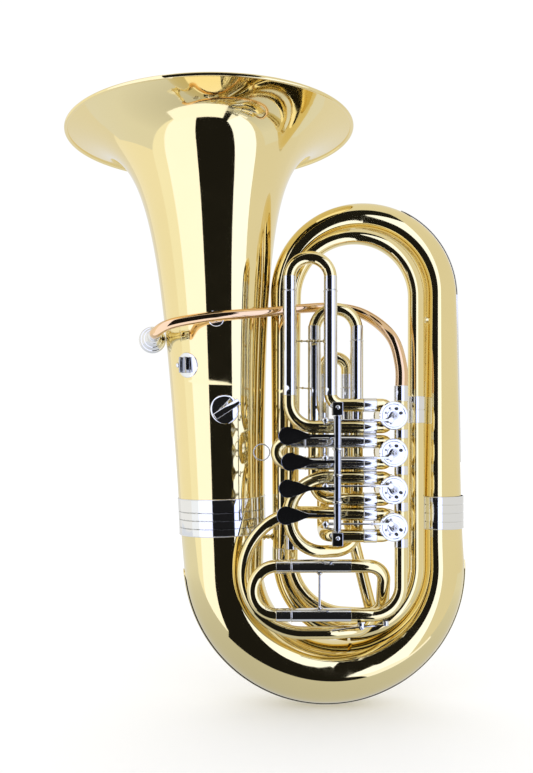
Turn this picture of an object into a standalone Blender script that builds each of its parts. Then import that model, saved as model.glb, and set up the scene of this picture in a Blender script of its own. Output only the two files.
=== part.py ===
"""A four-valve rotary tuba, upright, as an assembly of separate named pieces.

Metres, +Z up, +X towards the valves' side of the body, +Y towards the player.
The origin lies on the ground under the middle of the instrument's outer box.
The bore runs: mouthpiece, leadpipe, valves 1 to 4, main tuning slide, return tube,
inner branch, inner bow, outer branch, bottom bow, bell.
"""
import math

import bmesh
import bpy
from mathutils import Matrix, Vector

# ------------------------------------------------------------------ driving dimensions
GAP = 0.0003                 # left between pieces that would touch
TUBE_R = 0.0096              # outer radius of the valve tubing and the slide sleeves
TUBE_WALL = 0.0007
SLIDE_R = 0.0078             # outer radius of the moving slide legs
SLIDE_BOW_R = 0.0094         # and of their bows
SLIDE_STEP = 0.0016          # the length over which a leg widens into its bow
BODY_WALL = 0.0010           # bell, bows and branches

FRONT_Y = -0.100             # plane of the valve ports, slides 1 and 2 and the main slide
THIRD_Y = -0.070             # plane of slide 3
FOURTH_Y = -0.030            # plane of slide 4
INNER_Y = -0.035             # plane of the inner branch

# bell: radius = throat + flare * (distance below the rim + onset) ** -power
BELL_FOOT = Vector((-0.0704, 0.0, 0.3003))
BELL_HEIGHT = 0.6027         # from the foot to the rim, along the bell's axis
BELL_LEAN = -0.0310          # sideways run of the bell's axis for each metre of height
BELL_THROAT = 0.0229
BELL_FLARE = 0.0365
BELL_ONSET = 0.0178
BELL_POWER = 0.42
RIM_BEAD_R = 0.0027

# bottom bow and its guard
BOW_BOTTOM_Z = 0.05078      # centreline of the lowest stretch
BOW_BEND_R = 0.1705
BOW_RIGHT_X = 0.2729
BOW_CORNER_X = 0.2800        # the right leg leans in from here
BOW_LEAN_Z = 0.2620          # and stands upright from here
BOW_START_R = 0.0672
BOW_MIDDLE_R = 0.0452
BOW_END_R = 0.0368
BOW_TOP_Z = 0.3051
GUARD_THICKNESS = 0.0012
GUARD_LIFT = 0.0007
GUARD_TOP_Z = 0.2383

# outer branch: right leg, top bow, left leg, all in the plane of the bell
OUTER_LEFT_X = 0.0285
OUTER_BEND_R = (BOW_RIGHT_X - OUTER_LEFT_X) / 2
OUTER_TOP_Z = 0.7690
OUTER_END_Z = 0.2280

# inner bow and inner branch
INNER_RIGHT_X = 0.2315
INNER_LEFT_X = 0.0426
INNER_BOTTOM_Z = 0.119
INNER_BOW_BEND_R = 0.107
INNER_JOINT_Z = 0.4656
INNER_TOP_Z = 0.7335
INNER_BEND_R = 0.0944
RETURN_X = 0.0385            # the foot of the inner branch's left leg
RETURN_Z = 0.1550            # the lowest line of the return tube
RETURN_JOINT_Z = 0.2600

# rotary valves, one under another, axes along Y
VALVE_X = 0.1823
VALVE_TOP_Z = 0.4546
VALVE_PITCH = 0.0533
VALVE_Z = [VALVE_TOP_Z - VALVE_PITCH * row for row in range(4)]
MAIN_LINE_X = 0.1976         # the tubes that join the valves
PORT_RISE = 0.0160           # slide ports above and below each valve's axis
PORT_END_X = 0.1423          # where the casing's ports end and the slide tubing starts
STUB_REACH = 0.0263
CASING_R = 0.0195
CASING_BORE_R = 0.0165
CASING_FRONT_Y = -0.1257
CASING_BACK_Y = -0.0657
CAP_R = 0.0205
CAP_FRONT_Y = -0.1320
CAP_BACK_Y = -0.0580
ROTOR_R = 0.0158
SPINDLE_R = 0.0040
PIN_OFFSET = 0.0067          # crank pin from the rotor's axis, sideways and up or down
PIN_SIDE = (-1, -1, 1, 1)    # below the axis on valves 1 and 2, above it on 3 and 4

# slides
SLIDE_1_X = (0.0338, 0.0940)
SLIDE_1_TOP_Z = 0.6874
SLIDE_1_RING_Z = 0.6390
SLIDE_2_LEFT_X = 0.0156
SLIDE_2_RING_X = 0.0557
SLIDE_3_X = (0.0723, 0.1358)
SLIDE_3_TOP_Z = 0.6160
SLIDE_3_RING_Z = 0.5690
SLIDE_4_X = (0.0878, 0.1251)
SLIDE_4_TOP_Z = 0.5463
SLIDE_4_RING_Z = 0.5000
MAIN_SLIDE_Z = (0.2342, 0.1625)
MAIN_SLIDE_LEFT_X = -0.0199
MAIN_SLIDE_RING_X = 0.0360

# levers: a vertical axle in front of the tubing, four paddles on it
AXLE_X = 0.0973
AXLE_Y = -0.1800
AXLE_R = 0.0028
PAD_Z = (0.4258, 0.3904, 0.3538, 0.3169)
PAD_REACH = (0.0684, 0.0645, 0.0681, 0.0708)
PAD_R = 0.0126
HUB_SPAN = ((0.4095, 0.4532), (0.3738, 0.4065), (0.3368, 0.3708), (0.2954, 0.3338))
ARM_TIP = (-0.0141, 0.0331)  # ball of the drive arm, from the axle, in X and Y

# mouthpiece: starts at the receiver and points past the bell towards the player
MOUTH_BASE = Vector((-0.1633, -0.1000, 0.5760))
MOUTH_AXIS = Vector((-0.0183, 0.1000, 0.0009)).normalized()

PIPE_SIDES = 8
BODY_SIDES = 16
BELL_SIDES = 20              # the bell, the bottom bow and the ferrule over their joint
VALVE_SIDES = 12
ARC_STEP = math.radians(30)


# ------------------------------------------------------------------ scene and materials
def clear_scene():
    for item in list(bpy.data.objects):
        bpy.data.objects.remove(item, do_unlink=True)


def material(name, color, roughness, metallic=1.0):
    finish = bpy.data.materials.new(name)
    finish.use_nodes = True
    shader = finish.node_tree.nodes["Principled BSDF"]
    shader.inputs["Base Color"].default_value = (*color, 1.0)
    shader.inputs["Roughness"].default_value = roughness
    shader.inputs["Metallic"].default_value = metallic
    return finish


clear_scene()
BRASS = material("lacquered_brass", (0.90, 0.75, 0.37), 0.12)
GOLD_BRASS = material("gold_brass", (0.86, 0.55, 0.33), 0.14)
NICKEL = material("nickel_silver", (0.80, 0.79, 0.75), 0.14)
CHROME = material("chrome", (0.62, 0.64, 0.66), 0.06)
STEEL = material("valve_steel", (0.56, 0.56, 0.55), 0.25)


# ------------------------------------------------------------------ mesh helpers
def finish_object(name, mesh_data, finish):
    """Closes up a bmesh as one smooth-shaded object."""
    bmesh.ops.remove_doubles(mesh_data, verts=mesh_data.verts, dist=1e-6)
    bmesh.ops.recalc_face_normals(mesh_data, faces=mesh_data.faces)
    mesh = bpy.data.meshes.new(name)
    mesh_data.to_mesh(mesh)
    mesh_data.free()
    mesh.shade_smooth()
    mesh.set_sharp_from_angle(angle=math.radians(40))
    piece = bpy.data.objects.new(name, mesh)
    piece.data.materials.append(finish)
    bpy.context.scene.collection.objects.link(piece)
    return piece


def combine(piece, tool, operation):
    """Joins a tool to a piece, or cuts it away, and removes the tool."""
    step = piece.modifiers.new(operation, "BOOLEAN")
    step.operation = operation
    step.solver = "EXACT"
    step.object = tool
    graph = bpy.context.evaluated_depsgraph_get()
    result = bpy.data.meshes.new_from_object(piece.evaluated_get(graph))
    piece.modifiers.clear()
    old = piece.data
    piece.data = result
    bpy.data.meshes.remove(old)
    bpy.data.objects.remove(tool, do_unlink=True)
    result.shade_smooth()
    result.set_sharp_from_angle(angle=math.radians(40))
    return piece


def join(piece, *tools):
    for tool in tools:
        combine(piece, tool, "UNION")
    return piece


def cut(piece, *tools):
    for tool in tools:
        combine(piece, tool, "DIFFERENCE")
    return piece


def pivot_at(piece, spot):
    """Puts a moving piece's origin on its joint's axis and leaves its shape in place."""
    piece.data.transform(Matrix.Translation(-Vector(spot)))
    piece.location = spot


def bent_route(points, step=ARC_STEP):
    """Points along a run of straight stretches. Each point is (x, y, z) or
    (x, y, z, bend radius), and a bend radius rounds that corner with an arc."""
    line = [Vector(points[0][:3])]
    for before, corner, after in zip(points, points[1:], points[2:]):
        here = Vector(corner[:3])
        if len(corner) == 3:
            line.append(here)
            continue
        into = (here - Vector(before[:3])).normalized()
        out = (Vector(after[:3]) - here).normalized()
        turn = into.angle(out)
        setback = corner[3] * math.tan(turn / 2)
        hub = here - into * setback + (out - into * into.dot(out)).normalized() * corner[3]
        spoke = here - into * setback - hub
        count = max(2, round(turn / step))
        swing = into.cross(out).normalized()
        for index in range(count + 1):
            line.append(hub + Matrix.Rotation(turn * index / count, 3, swing) @ spoke)
    line.append(Vector(points[-1][:3]))
    return line[:1] + [spot for last, spot in zip(line, line[1:]) if (spot - last).length > 1e-5]


def smooth_route(points, steps):
    """Points on a smooth curve through the given ones, steps to each stretch."""
    knots = [Vector(point) for point in points]
    knots = [2 * knots[0] - knots[1]] + knots + [2 * knots[-1] - knots[-2]]
    line = []
    for a, b, c, d in zip(knots, knots[1:], knots[2:], knots[3:]):
        for index in range(steps):
            t = index / steps
            line.append(0.5 * (2 * b + (c - a) * t + (2 * a - 5 * b + 4 * c - d) * t ** 2
                               + (3 * b - a - 3 * c + d) * t ** 3))
    line.append(knots[-2])
    return line


def route_frames(line, side):
    """The point, side and up directions at each step, turning as little as possible."""
    frames = []
    for index, spot in enumerate(line):
        before = line[max(index - 1, 0)]
        after = line[min(index + 1, len(line) - 1)]
        if 0 < index < len(line) - 1:
            ahead = (spot - before).normalized() + (after - spot).normalized()
        else:
            ahead = after - before
        ahead.normalize()
        side = (side - ahead * side.dot(ahead)).normalized()
        frames.append((spot, side, side.cross(ahead)))
    return frames


def fractions(line):
    """How far along the line each point lies, from 0 to 1."""
    lengths = [0.0]
    for last, spot in zip(line, line[1:]):
        lengths.append(lengths[-1] + (spot - last).length)
    return [length / lengths[-1] for length in lengths]


def taper(stops, place):
    """A radius read between (fraction, radius) stops."""
    for (low, first), (high, second) in zip(stops, stops[1:]):
        if place <= high:
            return first + (second - first) * (place - low) / (high - low)
    return stops[-1][1]


def bridge(mesh_data, first, second):
    count = len(first)
    for index in range(count):
        following = (index + 1) % count
        mesh_data.faces.new((first[index], first[following], second[following], second[index]))


def tube(name, line, radius, finish, wall=TUBE_WALL, sides=PIPE_SIDES, side=(0, 1, 0)):
    """An open-ended pipe along a line. radius is a number or a list of taper stops."""
    stops = [(0, radius), (1, radius)] if isinstance(radius, float) else radius
    mesh_data = bmesh.new()
    skins = ([], [])
    for (spot, across, up), place in zip(route_frames(line, Vector(side)), fractions(line)):
        outer = taper(stops, place)
        for skin, size in zip(skins, (outer, outer - wall)):
            ring = []
            for index in range(sides):
                angle = 2 * math.pi * index / sides
                spoke = across * math.cos(angle) + up * math.sin(angle)
                ring.append(mesh_data.verts.new(spot + size * spoke))
            skin.append(ring)
    for skin in skins:
        for first, second in zip(skin, skin[1:]):
            bridge(mesh_data, first, second)
    bridge(mesh_data, skins[0][0], skins[1][0])
    bridge(mesh_data, skins[0][-1], skins[1][-1])
    return finish_object(name, mesh_data, finish)


def guard(name, line, radii, chosen, half_angle, finish, pointed=False):
    """A thin strip that wraps the outer side of a bend in the XZ plane, over the chosen
    steps of the line. A pointed strip starts narrow."""
    mesh_data = bmesh.new()
    frames = route_frames(line, Vector((0, 1, 0)))
    rings = []
    for step in chosen:
        spot, across, up = frames[step]
        half = half_angle * (0.25 if pointed and step == chosen[0] else 1.0)
        ring = []
        for lift, turns in ((GUARD_LIFT, (-1, 0, 1)), (GUARD_LIFT + GUARD_THICKNESS, (1, 0, -1))):
            for turn in turns:
                out = across * math.sin(half * turn) + up * math.cos(half * turn)
                ring.append(mesh_data.verts.new(spot + (radii[step] + lift) * out))
        rings.append(ring)
    for first, second in zip(rings, rings[1:]):
        bridge(mesh_data, first, second)
    for end in (rings[0], rings[-1]):
        for index in (0, 1):
            mesh_data.faces.new((end[index], end[index + 1], end[4 - index], end[5 - index]))
    return finish_object(name, mesh_data, finish)


def lathe(name, profile, base, axis, finish, sides=16):
    """Turns a closed outline of (along, radius) points about an axis."""
    axis = Vector(axis).normalized()
    side = Vector((0, 1, 0)) if abs(axis.y) < 0.9 else Vector((0, 0, 1))
    side = (side - axis * side.dot(axis)).normalized()
    up = side.cross(axis)
    mesh_data = bmesh.new()
    rings = []
    for along, size in profile:
        centre = Vector(base) + axis * along
        if size < 1e-6:
            rings.append([mesh_data.verts.new(centre)] * sides)
            continue
        angles = [2 * math.pi * index / sides for index in range(sides)]
        spokes = [side * math.cos(angle) + up * math.sin(angle) for angle in angles]
        rings.append([mesh_data.verts.new(centre + size * spoke) for spoke in spokes])
    for first, second in zip(rings, rings[1:] + rings[:1]):
        for index in range(sides):
            following = (index + 1) % sides
            corners = [first[index], first[following], second[following], second[index]]
            unique = list(dict.fromkeys(corners))
            if len(unique) > 2:
                mesh_data.faces.new(unique)
    return finish_object(name, mesh_data, finish)


def rod(name, start, end, radius, finish, sides=PIPE_SIDES):
    start = Vector(start)
    run = Vector(end) - start
    outline = [(0, 0), (0, radius), (run.length, radius), (run.length, 0)]
    return lathe(name, outline, start, run, finish, sides)


def block(name, centre, size, finish, turn=None):
    mesh_data = bmesh.new()
    bmesh.ops.create_cube(mesh_data, size=1.0)
    place = Matrix.Translation(Vector(centre)) @ (turn or Matrix()) @ Matrix.Diagonal((*size, 1.0))
    bmesh.ops.transform(mesh_data, matrix=place, verts=mesh_data.verts)
    return finish_object(name, mesh_data, finish)


def plate(name, outline, front_y, back_y, finish):
    """A flat outline of (x, z) points, given thickness along Y."""
    mesh_data = bmesh.new()
    front = [mesh_data.verts.new((x, front_y, z)) for x, z in outline]
    back = [mesh_data.verts.new((x, back_y, z)) for x, z in outline]
    bridge(mesh_data, front, back)
    mesh_data.faces.new(front)
    mesh_data.faces.new(list(reversed(back)))
    return finish_object(name, mesh_data, finish)


# ------------------------------------------------------------------ bell and bows
def bell_radius(z):
    below_rim = max(BELL_FOOT.z + BELL_HEIGHT - z, 0.0)
    return BELL_THROAT + BELL_FLARE * (below_rim + BELL_ONSET) ** -BELL_POWER


def bell_centre(z):
    return Vector((BELL_FOOT.x + BELL_LEAN * (z - BELL_FOOT.z), 0.0, z))


def make_bell():
    """One lathe: outer skin, rolled bead at the rim, inner skin, open foot."""
    rings = 12
    heights = [BELL_HEIGHT * (1 - (1 - index / rings) ** 2.4) for index in range(rings + 1)]
    skin = [Vector((height, bell_radius(BELL_FOOT.z + height))) for height in heights]
    inner = []
    for index, spot in enumerate(skin):
        run = skin[min(index + 1, rings)] - skin[max(index - 1, 0)]
        normal = Vector((run.y, -run.x)).normalized()
        inner.append(spot + normal * BODY_WALL)
    bead = []
    for index in range(6):
        angle = math.radians(-120 + 60 * index)
        bead.append(skin[-1] + RIM_BEAD_R * Vector((math.sin(angle), 1 + math.cos(angle))))
    outline = skin[:-1] + bead + inner[-2::-1]
    axis = Vector((BELL_LEAN, 0, 1))
    return lathe("bell", outline, BELL_FOOT, axis, BRASS, BELL_SIDES)


def sleeve_ring(name, foot, axis, height, inner, thickness, sides, finish=None):
    outline = [(0, inner), (0, inner + thickness), (height, inner + thickness), (height, inner)]
    return lathe(name, outline, foot, axis, finish or NICKEL, sides)


def make_bottom_bow():
    foot = BELL_FOOT - Vector((BELL_LEAN, 0, 1)) * 0.0005
    corner_x = foot.x - BELL_LEAN * (foot.z - BOW_BOTTOM_Z)
    line = bent_route([(foot.x, 0, foot.z), (corner_x, 0, BOW_BOTTOM_Z, BOW_BEND_R),
                       (BOW_CORNER_X, 0, BOW_BOTTOM_Z, BOW_BEND_R), (BOW_RIGHT_X, 0, BOW_LEAN_Z),
                       (BOW_RIGHT_X, 0, BOW_TOP_Z)], math.radians(18))
    stops = [(0, BOW_START_R), (0.6, BOW_MIDDLE_R), (1, BOW_END_R)]
    bow = tube("bottom_bow", line, stops, BRASS, BODY_WALL, BELL_SIDES)
    radii = [taper(stops, place) for place in fractions(line)]
    chosen = [step for step, spot in enumerate(line) if spot.z < GUARD_TOP_Z]
    guard("bottom_bow_guard", line, radii, chosen, math.radians(18), BRASS)
    lean = Vector((BELL_LEAN, 0, 1))
    below, above = 0.0286, 0.0287
    top_r = bell_radius(BELL_FOOT.z + above) + 0.0005
    outline = [(-below, BOW_START_R + 0.0004), (-below, BOW_START_R + 0.0015), (above, top_r + 0.0011),
               (above, top_r)]
    lathe("bell_ferrule", outline, BELL_FOOT, lean, NICKEL, BELL_SIDES)
    sleeve_ring("bow_ferrule", (BOW_RIGHT_X, 0, 0.2797), (0, 0, 1), 0.0508, BOW_END_R + 0.0018, 0.0010,
                BELL_SIDES)
    return bow


def make_outer_branch():
    right_x = OUTER_LEFT_X + 2 * OUTER_BEND_R
    line = bent_route([(right_x, 0, BOW_TOP_Z + GAP), (right_x, 0, OUTER_TOP_Z, OUTER_BEND_R - 1e-5),
                       (OUTER_LEFT_X, 0, OUTER_TOP_Z, OUTER_BEND_R - 1e-5), (OUTER_LEFT_X, 0, OUTER_END_Z)])
    line.insert(1, Vector((right_x, 0, 0.383)))
    line.insert(2, Vector((right_x, 0, 0.520)))
    stops = [(0, 0.0363), (0.085, 0.0340), (0.22, 0.0305), (0.46, 0.0250), (0.64, 0.0218), (1, 0.0186)]
    tube("outer_branch", line, stops, BRASS, BODY_WALL, BODY_SIDES)
    radii = [taper(stops, place) for place in fractions(line)]
    chosen = [step for step, spot in enumerate(line) if spot.x > 0.2 and spot.z > 0.38]
    guard("top_bow_guard", line, radii, chosen, math.radians(22.5), NICKEL, pointed=True)


def make_inner_branch():
    line = bent_route([(OUTER_LEFT_X, 0, OUTER_END_Z - GAP),
                       (OUTER_LEFT_X, 0, INNER_BOTTOM_Z, INNER_BOW_BEND_R),
                       (INNER_RIGHT_X, INNER_Y, INNER_BOTTOM_Z, INNER_BOW_BEND_R),
                       (INNER_RIGHT_X, INNER_Y, INNER_JOINT_Z)])
    tube("inner_bow", line, [(0, 0.0184), (0.5, 0.0144), (1, 0.0131)], BRASS, BODY_WALL, 12)
    line = bent_route([(INNER_RIGHT_X, INNER_Y, INNER_JOINT_Z + GAP),
                       (INNER_RIGHT_X, INNER_Y, INNER_TOP_Z, INNER_BEND_R),
                       (INNER_LEFT_X, INNER_Y, INNER_TOP_Z, INNER_BEND_R),
                       (RETURN_X, INNER_Y, RETURN_JOINT_Z)])
    branch = tube("inner_branch", line, [(0, 0.0129), (0.5, 0.0118), (1, 0.0104)], BRASS, BODY_WALL, 12)
    upper_z = MAIN_SLIDE_Z[0]
    line = bent_route([(RETURN_X, INNER_Y, RETURN_JOINT_Z - GAP), (RETURN_X, INNER_Y, RETURN_Z, 0.080),
                       (0.1735, -0.068, RETURN_Z, 0.026), (0.1735, FRONT_Y, upper_z, 0.024),
                       (MAIN_SLIDE_RING_X, FRONT_Y, upper_z)])
    tube("return_tube", line, [(0, 0.0102), (1, TUBE_R)], BRASS)
    return branch


# ------------------------------------------------------------------ leadpipe and mouthpiece
def make_leadpipe():
    end = MOUTH_BASE + MOUTH_AXIS * 0.0030
    line = smooth_route([
        (MAIN_LINE_X, FRONT_Y, 0.4814), (MAIN_LINE_X, -0.0995, 0.5280), (0.1850, -0.0840, 0.5740),
        (0.1500, -0.0520, 0.6100), (0.1050, -0.0440, 0.6220), (0.0500, -0.0565, 0.6185),
        (-0.0022, -0.0750, 0.6105), (-0.0699, -0.0990, 0.6020), (-0.1207, -0.1125, 0.5925),
        (-0.1460, -0.1165, 0.5850), MOUTH_BASE - MOUTH_AXIS * 0.0080, end], 2)
    stops = [(0, 0.0095), (0.25, 0.0082), (0.55, 0.0068), (0.75, 0.0074), (1, 0.0078)]
    tube("leadpipe", line, stops, GOLD_BRASS, TUBE_WALL, PIPE_SIDES, (1, 0, 0))
    receiver = [(0.0050, 0.0069), (0.0050, 0.0084), (0.0330, 0.0080), (0.0332, 0.0095), (0.0380, 0.0095),
                (0.0380, 0.0069)]
    lathe("mouthpiece_receiver", receiver, MOUTH_BASE, MOUTH_AXIS, NICKEL, 12)
    outline = [(0.0090, 0.0040), (0.0090, 0.0055), (0.0385, 0.0062), (0.0600, 0.0078), (0.0720, 0.0112),
               (0.0860, 0.0172), (0.0950, 0.0203), (0.0995, 0.0213), (0.1017, 0.0202), (0.1017, 0.0176),
               (0.0950, 0.0160), (0.0830, 0.0126), (0.0740, 0.0078), (0.0680, 0.0042)]
    pivot_at(lathe("mouthpiece", outline, MOUTH_BASE, MOUTH_AXIS, NICKEL, 12), MOUTH_BASE)


# ------------------------------------------------------------------ fittings on the bell
def bell_patch(name, lean_x, z, radius, lift, thickness, finish):
    """A round flange bent to the bell's surface. lean_x is its sideways distance from
    the bell's axis, on the side away from the player."""
    start = math.asin(lean_x / bell_radius(z))
    sides = 16
    mesh_data = bmesh.new()
    skins = []
    for height in (lift, lift + thickness):
        rings = []
        for share in (0.0, 0.55, 1.0):
            ring = []
            for index in range(1 if share == 0 else sides):
                angle = 2 * math.pi * index / sides
                level = z + radius * share * math.sin(angle)
                size = bell_radius(level) + height
                around = start + radius * share * math.cos(angle) / size
                ring.append(mesh_data.verts.new(
                    bell_centre(level) + size * Vector((math.sin(around), -math.cos(around), 0))))
            rings.append(ring)
        for index in range(sides):
            mesh_data.faces.new((rings[0][0], rings[1][index], rings[1][(index + 1) % sides]))
        bridge(mesh_data, rings[1], rings[2])
        skins.append(rings)
    bridge(mesh_data, skins[0][2], skins[1][2])
    return finish_object(name, mesh_data, finish)


def bell_axes(lean_x, z):
    """The point on the bell's skin and the outward direction there."""
    around = math.asin(lean_x / bell_radius(z))
    out = Vector((math.sin(around), -math.cos(around), 0))
    return bell_centre(z) + out * bell_radius(z), out


def facing(out, tilt):
    """A turn that takes +Y to the outward direction and then rolls about it."""
    return out.to_track_quat("Y", "Z").to_matrix().to_4x4() @ Matrix.Rotation(tilt, 4, "Y")


def make_bell_fittings():
    spot, out = bell_axes(-0.0424, 0.532)
    holder = bell_patch("lyre_holder", -0.0424, 0.532, 0.0190, 0.0005, 0.0012, NICKEL)
    turn = facing(out, 0.0)
    join(holder, block("socket", spot + out * 0.0075, (0.0115, 0.0121, 0.0240), NICKEL, turn))
    cut(holder, block("slot", spot + out * 0.0082, (0.0062, 0.0062, 0.0300), NICKEL, turn))
    across = Vector((-out.y, out.x, 0))
    sign = -1 if across.x > 0 else 1
    across = across * sign
    base = spot + out * 0.0082
    cut(holder, rod("bore", base + across * 0.0010, base + across * 0.0090, 0.0019, NICKEL, 8))
    outline = [(0.0034, 0), (0.0034, 0.0015), (0.0068, 0.0015), (0.0070, 0.0030), (0.0090, 0.0043),
               (0.0113, 0.0043), (0.0133, 0.0030), (0.0138, 0)]
    pivot_at(lathe("lyre_screw", outline, base, across, NICKEL, 10), base)

    spot, out = bell_axes(0.0131, 0.465)
    rest = bell_patch("thumb_rest", 0.0131, 0.465, 0.0220, 0.0005, 0.0012, NICKEL)
    post = block("post", spot + out * 0.0105, (0.0100, 0.0190, 0.0100), NICKEL, facing(out, 0.0))
    bar = block("bar", spot + out * 0.0225, (0.0430, 0.0060, 0.0100), NICKEL, facing(out, math.radians(33)))
    join(rest, post, bar)

    spot, out = bell_axes(0.0042, 0.6005)
    brace = bell_patch("leadpipe_brace", 0.0042, 0.6005, 0.0120, 0.0005, 0.0012, NICKEL)
    join(brace, rod("post", spot + out * 0.0010, spot + out * 0.0084, 0.0042, NICKEL))


# ------------------------------------------------------------------ valves
def make_valve(number):
    z = VALVE_Z[number - 1]
    centre = Vector((VALVE_X, FRONT_Y, z))
    axis = Vector((0, 1, 0))
    casing = rod(f"valve_casing_{number}", (VALVE_X, CASING_FRONT_Y, z), (VALVE_X, CASING_BACK_Y, z),
                 CASING_R, BRASS, VALVE_SIDES)
    stubs = [((MAIN_LINE_X, FRONT_Y, z - STUB_REACH), (MAIN_LINE_X, FRONT_Y, z + STUB_REACH))]
    for rise in (-PORT_RISE, PORT_RISE):
        stubs.append(((PORT_END_X, FRONT_Y, z + rise), (VALVE_X - 0.0050, FRONT_Y, z + rise)))
    for start, end in stubs:
        join(casing, rod("stub", start, end, TUBE_R, BRASS))
    for start, end in stubs:
        run = (Vector(end) - Vector(start)).normalized()
        back = 0.002 if run.z > 0.5 else 0.0
        bore_end = Vector(end) + run * back
        cut(casing, rod("bore", Vector(start) - run * 0.002, bore_end, TUBE_R - 0.0010, BRASS))
    cut(casing, rod("bore", centre - axis * 0.05, centre + axis * 0.05, CASING_BORE_R, BRASS, VALVE_SIDES))

    outline = [(-0.0370, 0), (-0.0370, SPINDLE_R), (-0.0250, SPINDLE_R), (-0.0250, ROTOR_R),
               (0.0310, ROTOR_R), (0.0310, SPINDLE_R), (0.0380, SPINDLE_R), (0.0380, 0)]
    rotor = lathe(f"rotor_{number}", outline, centre, axis, STEEL, VALVE_SIDES)
    for offset in (MAIN_LINE_X - VALVE_X, VALVE_X - MAIN_LINE_X):
        low_end = (VALVE_X + offset, FRONT_Y, z - 0.03)
        high_end = (VALVE_X + offset, FRONT_Y, z + 0.03)
        cut(rotor, rod("channel", low_end, high_end, TUBE_R - 0.0012, STEEL))
    pin_z = z + PIN_OFFSET * PIN_SIDE[number - 1]
    pin_x = VALVE_X - PIN_OFFSET
    heading = math.atan2(pin_z - z, pin_x - VALVE_X)
    outline = []
    for index in range(6):
        angle = heading + math.pi / 2 + math.pi * index / 5
        outline.append((VALVE_X + 0.0066 * math.cos(angle), z + 0.0066 * math.sin(angle)))
    for index in range(5):
        angle = heading - math.pi / 2 + math.pi * index / 4
        outline.append((pin_x + 0.0036 * math.cos(angle), pin_z + 0.0036 * math.sin(angle)))
    arm = plate("arm", outline, -0.1368, -0.1340, STEEL)
    pin = rod("pin", (pin_x, -0.1440, pin_z), (pin_x, -0.1350, pin_z), 0.0018, STEEL, 8)
    join(rotor, arm, pin)
    pivot_at(rotor, centre)

    hole = SPINDLE_R + 0.0006
    front = [(CAP_FRONT_Y, hole), (CAP_FRONT_Y, CAP_R), (CASING_FRONT_Y - GAP, CAP_R),
             (CASING_FRONT_Y - GAP, hole)]
    lathe(f"bearing_plate_{number}", front, (VALVE_X, 0, z), axis, NICKEL, VALVE_SIDES)
    back = [(CAP_BACK_Y, 0), (CAP_BACK_Y, CAP_R), (CASING_BACK_Y + GAP, CAP_R), (CASING_BACK_Y + GAP, hole),
            (-0.0612, hole), (-0.0612, 0)]
    lathe(f"valve_back_cap_{number}", back, (VALVE_X, 0, z), axis, NICKEL, VALVE_SIDES)


# ------------------------------------------------------------------ slide tubing
def make_valve_tubing():
    """The fixed tubes from each valve's ports to its slide, and the main line."""
    low = [z - PORT_RISE for z in VALVE_Z]
    high = [z + PORT_RISE for z in VALVE_Z]
    port_x = PORT_END_X - GAP
    left, right = SLIDE_1_X
    tube("valve_1_lower_tube", bent_route([(port_x, FRONT_Y, low[0]), (left, FRONT_Y, low[0], 0.036),
                                           (left, FRONT_Y, SLIDE_1_RING_Z)]), TUBE_R, BRASS)
    tube("valve_1_upper_tube", bent_route([(port_x, FRONT_Y, high[0]), (right, FRONT_Y, high[0], 0.017),
                                           (right, FRONT_Y, SLIDE_1_RING_Z)]), TUBE_R, BRASS)
    for name, z in (("valve_2_upper_tube", high[1]), ("valve_2_lower_tube", low[1])):
        tube(name, bent_route([(port_x, FRONT_Y, z), (SLIDE_2_RING_X, FRONT_Y, z)]), TUBE_R, BRASS)
    left, right = SLIDE_3_X
    radius = 0.0554
    tube("valve_3_upper_tube", bent_route([
        (port_x, FRONT_Y, high[2]), (0.0335, FRONT_Y, high[2], radius - 1e-4),
        (0.0335, FRONT_Y, high[2] - 2 * radius, radius - 0.0015),
        (right, THIRD_Y, high[2] - 2 * radius, 0.035), (right, THIRD_Y, SLIDE_3_RING_Z)]), TUBE_R, BRASS)
    tube("valve_3_lower_tube", bent_route([
        (port_x, FRONT_Y, low[2]), (0.1200, FRONT_Y, low[2], 0.020), (left, THIRD_Y, low[2], 0.026),
        (left, THIRD_Y, SLIDE_3_RING_Z)]), TUBE_R, BRASS)
    left, right = SLIDE_4_X
    radius = 0.0907
    tube("valve_4_upper_tube", bent_route([
        (port_x, FRONT_Y, high[3]), (0.1150, FRONT_Y, high[3], 0.040), (0.0680, -0.075, high[3], 0.040),
        (-0.0347, -0.075, high[3], radius), (-0.0347, -0.075, high[3] - 2 * radius, radius - 1e-4),
        (0.1000, -0.0720, high[3] - 2 * radius, 0.050), (0.1680, -0.0455, 0.1270, 0.030),
        (right, FOURTH_Y, 0.3030, 0.080),
        (right, FOURTH_Y, SLIDE_4_RING_Z)], math.radians(30)), TUBE_R, BRASS)
    tube("valve_4_lower_tube", bent_route([
        (port_x, FRONT_Y, low[3]), (left, FRONT_Y, low[3], 0.020), (left, FOURTH_Y, low[3], 0.020),
        (left, FOURTH_Y, SLIDE_4_RING_Z)]), TUBE_R, BRASS)
    lower_z = MAIN_SLIDE_Z[1]
    main = tube("main_lower_tube", bent_route([
        (MAIN_LINE_X, FRONT_Y, VALVE_Z[3] - STUB_REACH - GAP), (MAIN_LINE_X, FRONT_Y, lower_z, 0.043),
        (MAIN_SLIDE_RING_X, FRONT_Y, lower_z)]), TUBE_R, BRASS)
    base = lower_z - TUBE_R
    saddle = block("saddle", (0.1382, FRONT_Y, base), (0.0110, 0.0220, 0.0016), NICKEL)
    join(main, saddle)
    for side in (-1, 1):
        spot = (0.1382, FRONT_Y + side * 0.0102, base - 0.0045)
        join(main, block("ear", spot, (0.0070, 0.0016, 0.0090), NICKEL))


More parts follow.
